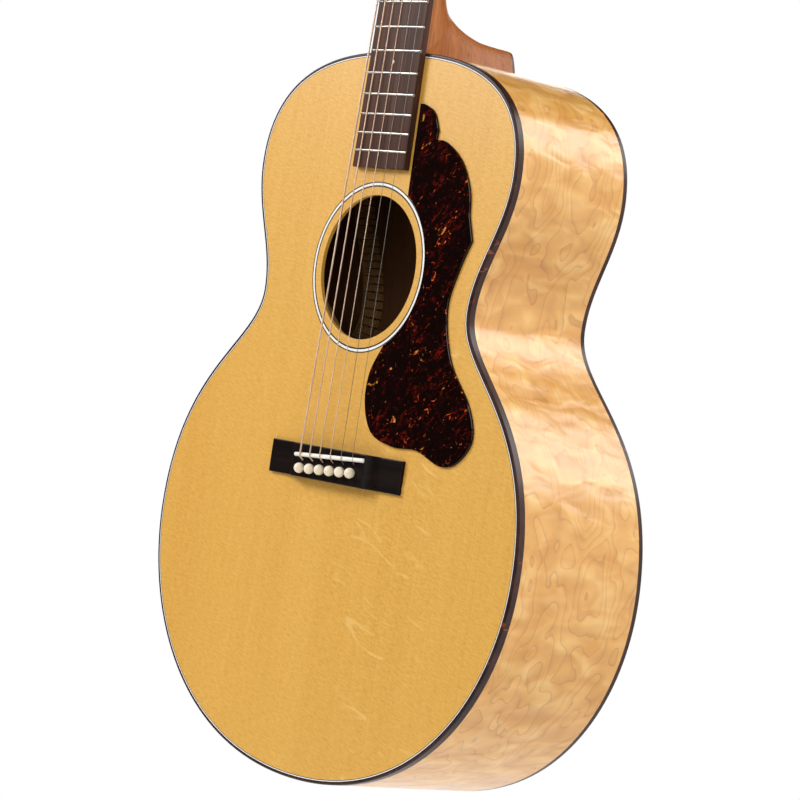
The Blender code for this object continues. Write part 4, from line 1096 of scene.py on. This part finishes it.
def head_outline(shrink):
    heights = (0.6, 4, 8, 12, 16, 20, 25, 30, 40, 60, 85, 110, 135, 150)
    run = [(head_half(height), height) for height in heights]
    run.append((HEAD_TOP_HALF, HEAD_SHOULDER))
    arch = [(HEAD_TOP_HALF * (1 - k / 16), HEAD_SHOULDER + HEAD_ARCH * (1 - (1 - k / 16) ** 2))
            for k in range(1, 32)]
    outline = run + arch + [(-x, z) for x, z in reversed(run)]
    return inset(list(reversed(outline)), shrink)


def make_headplate():
    outer, face = head_outline(0), -HEAD_PLATE
    eased = [flat(head_outline(0.6), face), flat(head_outline(0.2), face + 0.2),
             flat(outer, face + 0.6), flat(outer, 0)]
    plate = new_object("headplate_look", slab([eased]), HEAD)
    carve(plate, post_ways(POST_HOLE, -10, 10))
    dress(plate, HEAD_EBONY, stands_for=["headplate"], slot="ebony", angle=40)


def make_heel_cap():
    def arc(shrink):
        outline = neck_section(CAP_HALF - shrink, CAP_FACE)
        return [(x, BODY_TOP + (HEEL_REACH - shrink) * depth) for x, depth in outline]
    stack = [flat(arc(0), 95.4), flat(arc(0), CAP_BACK - 0.5),
             flat(arc(0.15), CAP_BACK - 0.15), flat(arc(0.5), CAP_BACK)]
    piece("heel_cap_look", slab([stack]), BINDING, stands_for=["heel_cap"], angle=40)


def board_section(z, half, lift=0.0):
    """Crowned face and eased edges of the fretboard."""
    ease = 0.5
    points = [(half, 0, z), (half, -BOARD_TOP + crown_drop(half) + ease + lift, z)]
    for k in range(25):
        x = (half - ease * 0.6) * (1 - k / 12)
        points.append((x, -BOARD_TOP + crown_drop(x) + lift, z))
    return points + [(-half, points[1][1], z), (-half, 0, z)]


def make_fretboard():
    """The crowned board; its end by the soundhole is eased."""
    run = SCALE - BOARD_END - 0.5
    rings = [board_section(BOARD_END, board_half(BOARD_END) - 0.35, 0.4)]
    rings += [board_section(z, board_half(z)) for z in [BOARD_END + 0.5 + step for step in through(run, 12)]]
    board = new_object("fretboard_look", lofted(rings))
    dress(board, ROSEWOOD, stands_for=["fretboard"], angle=30)
    dots = [(n, 0.0) for n in (3, 5, 7, 9, 15)] + [(12, -9), (12, 9)]
    for k, (n, x) in enumerate(dots):
        z = SCALE * (2 ** (-n / 12) + 2 ** (-(n - 1) / 12)) / 2
        radius = 3.1 if n < 15 else 1.2
        dot = turned([(0, 0.06), (radius * 0.96, 0.06), (radius, 0.03), (radius, -1), (0, -1)], 32)
        place = aim((x, -BOARD_TOP + crown_drop(x), z), (0, -1, 0))
        piece("fret_marker_%d" % (k + 1), placed(dot, place), PEARL, slot="white_trim")


def make_frets():
    """Crowned wires that follow the board, their ends filed round."""
    for n in range(1, FRETS + 1):
        z = SCALE * 2 ** (-n / 12)
        half = board_half(z) - 0.15
        ends = [(half, 0.15), (half - 0.25, 0.7), (half - 0.6, 0.96)]
        spread = ends + [(half * (1 - k / 8) * 0.96, 1.0) for k in range(1, 16)]
        spread += [(-x, tall) for x, tall in reversed(ends)]
        rings = []
        for x, tall in spread:
            low = -BOARD_TOP + crown_drop(x)
            ring = [(x, low + 0.4, z + FRET_HALF), (x, low + 0.4, z - FRET_HALF)]
            ring += [(x, low - FRET_HEIGHT * tall * math.sin(turn) ** 0.8, z - FRET_HALF * math.cos(turn))
                     for turn in through(math.pi, 8)]
            rings.append(ring)
        piece("fret_%02d" % n, lofted(rings), FRET_METAL, slot="nickel", angle=50)


def make_nut():
    """Bone nut, rounded to the back, with a slot under each string."""
    low, high = SCALE, SCALE + NUT_LENGTH
    rings = []
    for k in range(33):
        x = (NUT_HALF - 0.1) * (k / 16 - 1)
        top = -STRING_AT_NUT + crown_drop(x) - 0.1
        eased = 0.5 if k in (0, 32) else 0.0
        arc = [(x, top + eased + 2.6 * (1 - math.cos(turn)), low + NUT_LENGTH * math.sin(turn))
               for turn in through(math.pi / 2, 8)]
        rings.append([(x, 0, low)] + arc + [(x, 0, high)])
    nut = new_object("nut_look", lofted(rings))
    cutters = []
    for i, diameter in enumerate(STRING_DIAMETERS):
        x = (i - 2.5) * NUT_SPREAD
        y = -STRING_AT_NUT + crown_drop(x)
        start, end = Vector((x, y, low - 2)), Vector((x, y + 1.6, high + 2))
        middle = Vector((x, y, low + 1.2))
        cutters.append(new_object("nut_slot", swept([start, middle, end], diameter / 2 + 0.04)))
    carve(nut, cutters)
    dress(nut, BONE, stands_for=["nut"], angle=40)


# ---- tuners -----------------------------------------------------------------------------
def screw_head(radius, height):
    """Round head on local Z, standing on z = 0."""
    dome = [(radius * math.sin(turn), height * math.cos(turn) ** 0.7)
            for turn in through(math.pi / 2, 6)]
    return turned(dome + [(radius, -0.6), (0, -0.6)], 24)


def slotted(name, heads, slots, place):
    """Screw heads as one object, with their slots cut."""
    obj = new_object(name, merged(heads), place)
    carve(obj, [new_object("slot", slot, place) for slot in slots])
    return obj


def plate_outline(low, high, bottom, top, side, shrink):
    """A rectangle with round corners."""
    corner, points = 3, []
    for cx, cz, first in ((high - corner, top - corner, 90), (high - corner, bottom + corner, 0),
                          (low + corner, bottom + corner, -90), (low + corner, top - corner, -180)):
        for k in range(7):
            x, z = polar(corner - shrink, math.radians(first - 15 * k))
            points.append((side * (cx + x), cz + z))
    return points


def plate_ear(x, z, face, side):
    """An upright tab that carries the worm's shaft."""
    foot = EAR_RADIUS + 0.2
    shape = [(face, z - foot)]
    shape += [(WORM_Y + EAR_RADIUS * math.sin(turn), z - EAR_RADIUS * math.cos(turn))
              for turn in through(math.pi, 16)]
    shape.append((face, z + foot))
    rings = [[(side * (x + step), y, height) for y, height in shape] for step in (0, EAR_THICKNESS)]
    return new_object("ear", lofted(rings), HEAD)


def bushing():
    """The collar that guides a post through the head's face."""
    bore = POST_RADIUS + 0.15
    profile = [(bore, 3.2), (4.6, 3.2), (5.4, 2.6), (5.4, 2.0), (4.1, 2.0), (4.1, -4), (bore, -4)]
    return turned(profile, 40, closed=True)


def make_tuner_plates():
    low, high = POST_X - 8.5, POST_X + 8
    bottom, top = POST_Z[0] - 19, POST_Z[2] + 13
    face, back = HEAD_THICKNESS, HEAD_THICKNESS + 1.5
    for word, side in SIDES:
        stack = [flat(plate_outline(low, high, bottom, top, side, shrink), depth)
                 for shrink, depth in ((0, face), (0, back - 0.3), (0.3, back))]
        plate = new_object("tuner_plate_%s_look" % word, slab([stack]), HEAD)
        ears = [plate_ear(x, height - WORM_OFFSET, back - 0.6, side)
                for height in POST_Z for x in (low, high - EAR_THICKNESS)]
        holes = post_ways(POST_RADIUS + 0.6, -30, -10)
        bores = [new_object("bore", turned([(EAR_BORE, 0), (EAR_BORE, 40)], 20),
                            HEAD @ aim((side * 5, WORM_Y, height - WORM_OFFSET), (side, 0, 0)))
                 for height in POST_Z]
        carve(plate, ears, "UNION")
        carve(plate, holes + bores)
        dress(plate, NICKEL, stands_for=["tuner_plate_" + word], angle=40)
        spots = [aim((side * (low + high) / 2, back, z), (0, 1, 0)) for z in PLATE_SCREWS]
        screws = slotted("plate_screws_" + word, [placed(screw_head(2.1, 1.0), spot) for spot in spots],
                         [placed(block((-3, -0.25, 0.45), (3, 0.25, 2)), spot) for spot in spots], HEAD)
        dress(screws, NICKEL, angle=40)
        bushings = [placed(bushing(), aim((side * POST_X, 0, height), (0, -1, 0))) for height in POST_Z]
        piece("post_bushings_" + word, merged(bushings), NICKEL, place=HEAD, angle=40)


def gear_wheel():
    """Worm wheel round local Z, its teeth leaning with the thread."""
    rings = []
    for share in [k / 4 - 0.5 for k in range(5)]:
        ring = []
        for turn in around(GEAR_TEETH * 8):
            wave = max(-1.0, min(1.0, 1.5 * math.cos(GEAR_TEETH * (turn - 0.12 * share))))
            ring.append((*polar(GEAR_RADIUS - 0.6 + 0.55 * wave, turn), GEAR_THICKNESS * share))
        rings.append(ring)
    return lofted(rings)


def worm_shaft():
    """Shaft along local Z with a real thread in its middle."""
    thread = [-5.4 + step for step in through(10.8, 60)]
    rings = [[(*polar(SHAFT_RADIUS, turn), height) for turn in around(20)] for height in (-10, -5.6)]
    rings += [[(*polar(WORM_RADIUS - 0.35 + 0.35 * math.cos(turn - TAU * height / WORM_PITCH), turn), height)
               for turn in around(20)] for height in thread]
    rings += [[(*polar(SHAFT_RADIUS, turn), height) for turn in around(20)] for height in (5.6, 17)]
    return lofted(rings)


def button():
    """Oval button on local Z, thinner towards its shaft."""
    rings = []
    for share in [-math.cos(turn) for turn in through(math.pi, 20)]:
        round_off = math.sqrt(max(0.0004, 1 - share * share))
        wide = 8.3 * round_off ** 0.75
        thick = (2.5 + 0.7 * share) * round_off ** 0.5
        rings.append([(thick * math.copysign(abs(math.cos(turn)) ** 0.8, math.cos(turn)),
                       wide * math.sin(turn), 22.5 + 6.9 * share) for turn in around(40)])
    collar = turned([(0, 12.5), (2.2, 12.5), (2.6, 13.5), (2.4, 16.5), (0, 16.5)], 24)
    return merged([lofted(rings), collar])


def string_wrap(i, turns=2.75, steps=28):
    """Turns of string round a post, drawn along local Z."""
    radius = STRING_DIAMETERS[i] / 2
    return swept([(*polar(POST_WAIST + radius, turn), -POST_WRAP_Y + turn / TAU * radius * 2.05)
                  for turn in through(TAU * turns, int(turns * steps))], radius, 10)


def make_post(i, stand):
    """The post with its string hole, worm wheel, wheel screw and string windings."""
    number = 6 - i
    body = "tuner_post_%d" % number
    profile = [(0, 17), (2.3, 17), (2.85, 16.7), (POST_RADIUS, 16.1), (POST_RADIUS, 13.0),
               (2.75, 12.0), (POST_WAIST, 11.0), (POST_WAIST, 7.2), (2.75, 6.2),
               (POST_RADIUS, 5.4), (POST_RADIUS, -WORM_Y - 1.9), (0, -WORM_Y - 1.9)]
    post = new_object(body + "_look", turned(profile), stand)
    carve(post, [new_object("hole", swept([(-6, 0, 14.2), (6, 0, 14.2)], 0.9, 16), stand)])
    dress(post, NICKEL, body=body, stands_for=[body], angle=40)
    wheel = placed(gear_wheel(), Matrix.Translation((0, 0, -WORM_Y)))
    piece("gear_wheel_%d" % number, wheel, GEAR_BRASS, stand, body=body, slot="nickel", angle=30)
    under = Matrix.Translation((0, 0, -WORM_Y - 1.8)) @ Matrix.Rotation(math.pi, 4, "X")
    screw = slotted("gear_screw_%d" % number, [placed(screw_head(2.2, 1.3), under)],
                    [placed(block((-3, -0.3, 0.6), (3, 0.3, 2)), under)], stand)
    dress(screw, NICKEL, body=body, angle=40)
    piece("string_wrap_%d" % number, string_wrap(i), string_finish(i), stand, body=body, angle=60)


def make_tuners():
    for i in range(6):
        side, height = post_place(i)
        make_post(i, HEAD @ aim((side * POST_X, 0, height), (0, -1, 0)))
        knob = "tuner_knob_%d" % (6 - i)
        reach = HEAD @ aim((side * POST_X, WORM_Y, height - WORM_OFFSET), (side, 0, 0))
        piece(knob + "_shaft", worm_shaft(), NICKEL, reach, body=knob, stands_for=[knob], angle=50)
        lay = reach @ Matrix.Rotation(math.pi / 2, 4, "Z")
        piece("tuner_button_%d" % (6 - i), button(), BUTTON, lay, body=knob, angle=50)


def paint_kept_nodes():
    """CAD nodes whose shape is right keep their mesh and get a better material."""
    # the bracing and maple nodes inside the body take finishes darkened with painted shade
    finishes = {"spruce_bracing": SHADED_BRACING, "maple_plate": SHADED_BARE_MAPLE, "mahogany": MAHOGANY,
                "truss_steel": TRUSS}
    for part in frame["record"]["subparts"]:
        node = frame["nodes"][part["node"]]
        if not node.hide_render and part["material_slot"] in finishes:
            for slot in node.material_slots:
                slot.material = finishes[part["material_slot"]]


# ---- camera, floor, light ---------------------------------------------------------------
def make_camera():
    """Stands at the treble side, level with the bridge, rolled a little."""
    azimuth, elevation, roll = math.radians(49.43), math.radians(0.115), math.radians(8.81)
    forward = Vector((-math.sin(azimuth) * math.cos(elevation),
                      math.cos(azimuth) * math.cos(elevation), -math.sin(elevation)))
    level = Vector((math.cos(azimuth), math.sin(azimuth), 0))
    up = level.cross(forward)
    right = level * math.cos(roll) + up * math.sin(roll)
    turn = Matrix((right, right.cross(forward), -forward)).transposed().to_4x4()
    data = bpy.data.cameras.new("camera")
    data.sensor_width, data.lens = 36.0, 137.67
    camera = bpy.data.objects.new("camera", data)
    camera.matrix_world = Matrix.Translation((1.64478, -1.36028, -0.58636)) @ turn
    bpy.context.scene.collection.objects.link(camera)
    bpy.context.scene.camera = camera


def make_floor():
    half, height = 1.3, CAD_BOX[0].z - FLOOR_DROP
    work = bmesh.new()
    bmesh.ops.create_grid(work, x_segments=8, y_segments=8, size=half)
    floor = new_object("floor", work, Matrix.Translation((0, 0, height)))
    floor.data.materials.append(floor_paint())


def area_light(name, place, size, power):
    data = bpy.data.lights.new(name, "AREA")
    data.shape = "RECTANGLE"
    data.size, data.size_y = size
    data.energy = power
    light = bpy.data.objects.new(name, data)
    light.visible_camera = False
    light.matrix_world = aim(place, Vector(place) - BODY_HEART)
    bpy.context.scene.collection.objects.link(light)


def make_world():
    """White behind the object, dimmer for the light that it throws, dark in its reflections."""
    world = bpy.data.worlds.new("studio")
    world.use_nodes = True
    tree = world.node_tree
    path = tree.nodes.new("ShaderNodeLightPath").outputs

    def choose(share, off, on):
        level = tree.nodes.new("ShaderNodeMapRange")
        tree.links.new(share, level.inputs["Value"])
        level.inputs["To Max"].default_value = on
        if isinstance(off, float):
            level.inputs["To Min"].default_value = off
        else:
            tree.links.new(off, level.inputs["To Min"])
        return level.outputs[0]
    dim = choose(path["Is Glossy Ray"], AMBIENT, MIRRORED)
    back = tree.nodes["Background"]
    tree.links.new(choose(path["Is Camera Ray"], dim, 1.0), back.inputs["Strength"])
    back.inputs["Color"].default_value = (1, 1, 1, 1)
    bpy.context.scene.world = world


def make_light():
    area_light("key", (-1.25, -1.2, 0.38), (0.8, 0.8), 30)
    area_light("front", (1.2, -1.7, -0.35), (1.0, 1.0), 5)
    area_light("fill", (0.8, -1.25, 0.45), (0.8, 0.8), 9)
    area_light("side", (2.0, 0.4, 1.4), (1.2, 1.2), 30)
    area_light("back", (1.1, 1.75, 1.0), (1.2, 1.2), 30)
    area_light("backdrop", (2.0, 2.0, -0.6), (2.6, 2.4), 27)
    area_light("rim", (-1.9, 1.6, -0.3), (1.6, 1.6), 26)


make_camera()
make_floor()
make_world()
make_light()
bpy.context.scene.view_settings.view_transform = "Standard"

make_edges()
make_soundboard()
make_bridge()
make_sides()
make_back()
make_linings()
make_pickguard()
make_saddle()
make_pins()
make_strings()
make_neck()
make_headplate()
make_heel_cap()
make_fretboard()
make_frets()
make_nut()
make_tuner_plates()
make_tuners()
paint_kept_nodes()
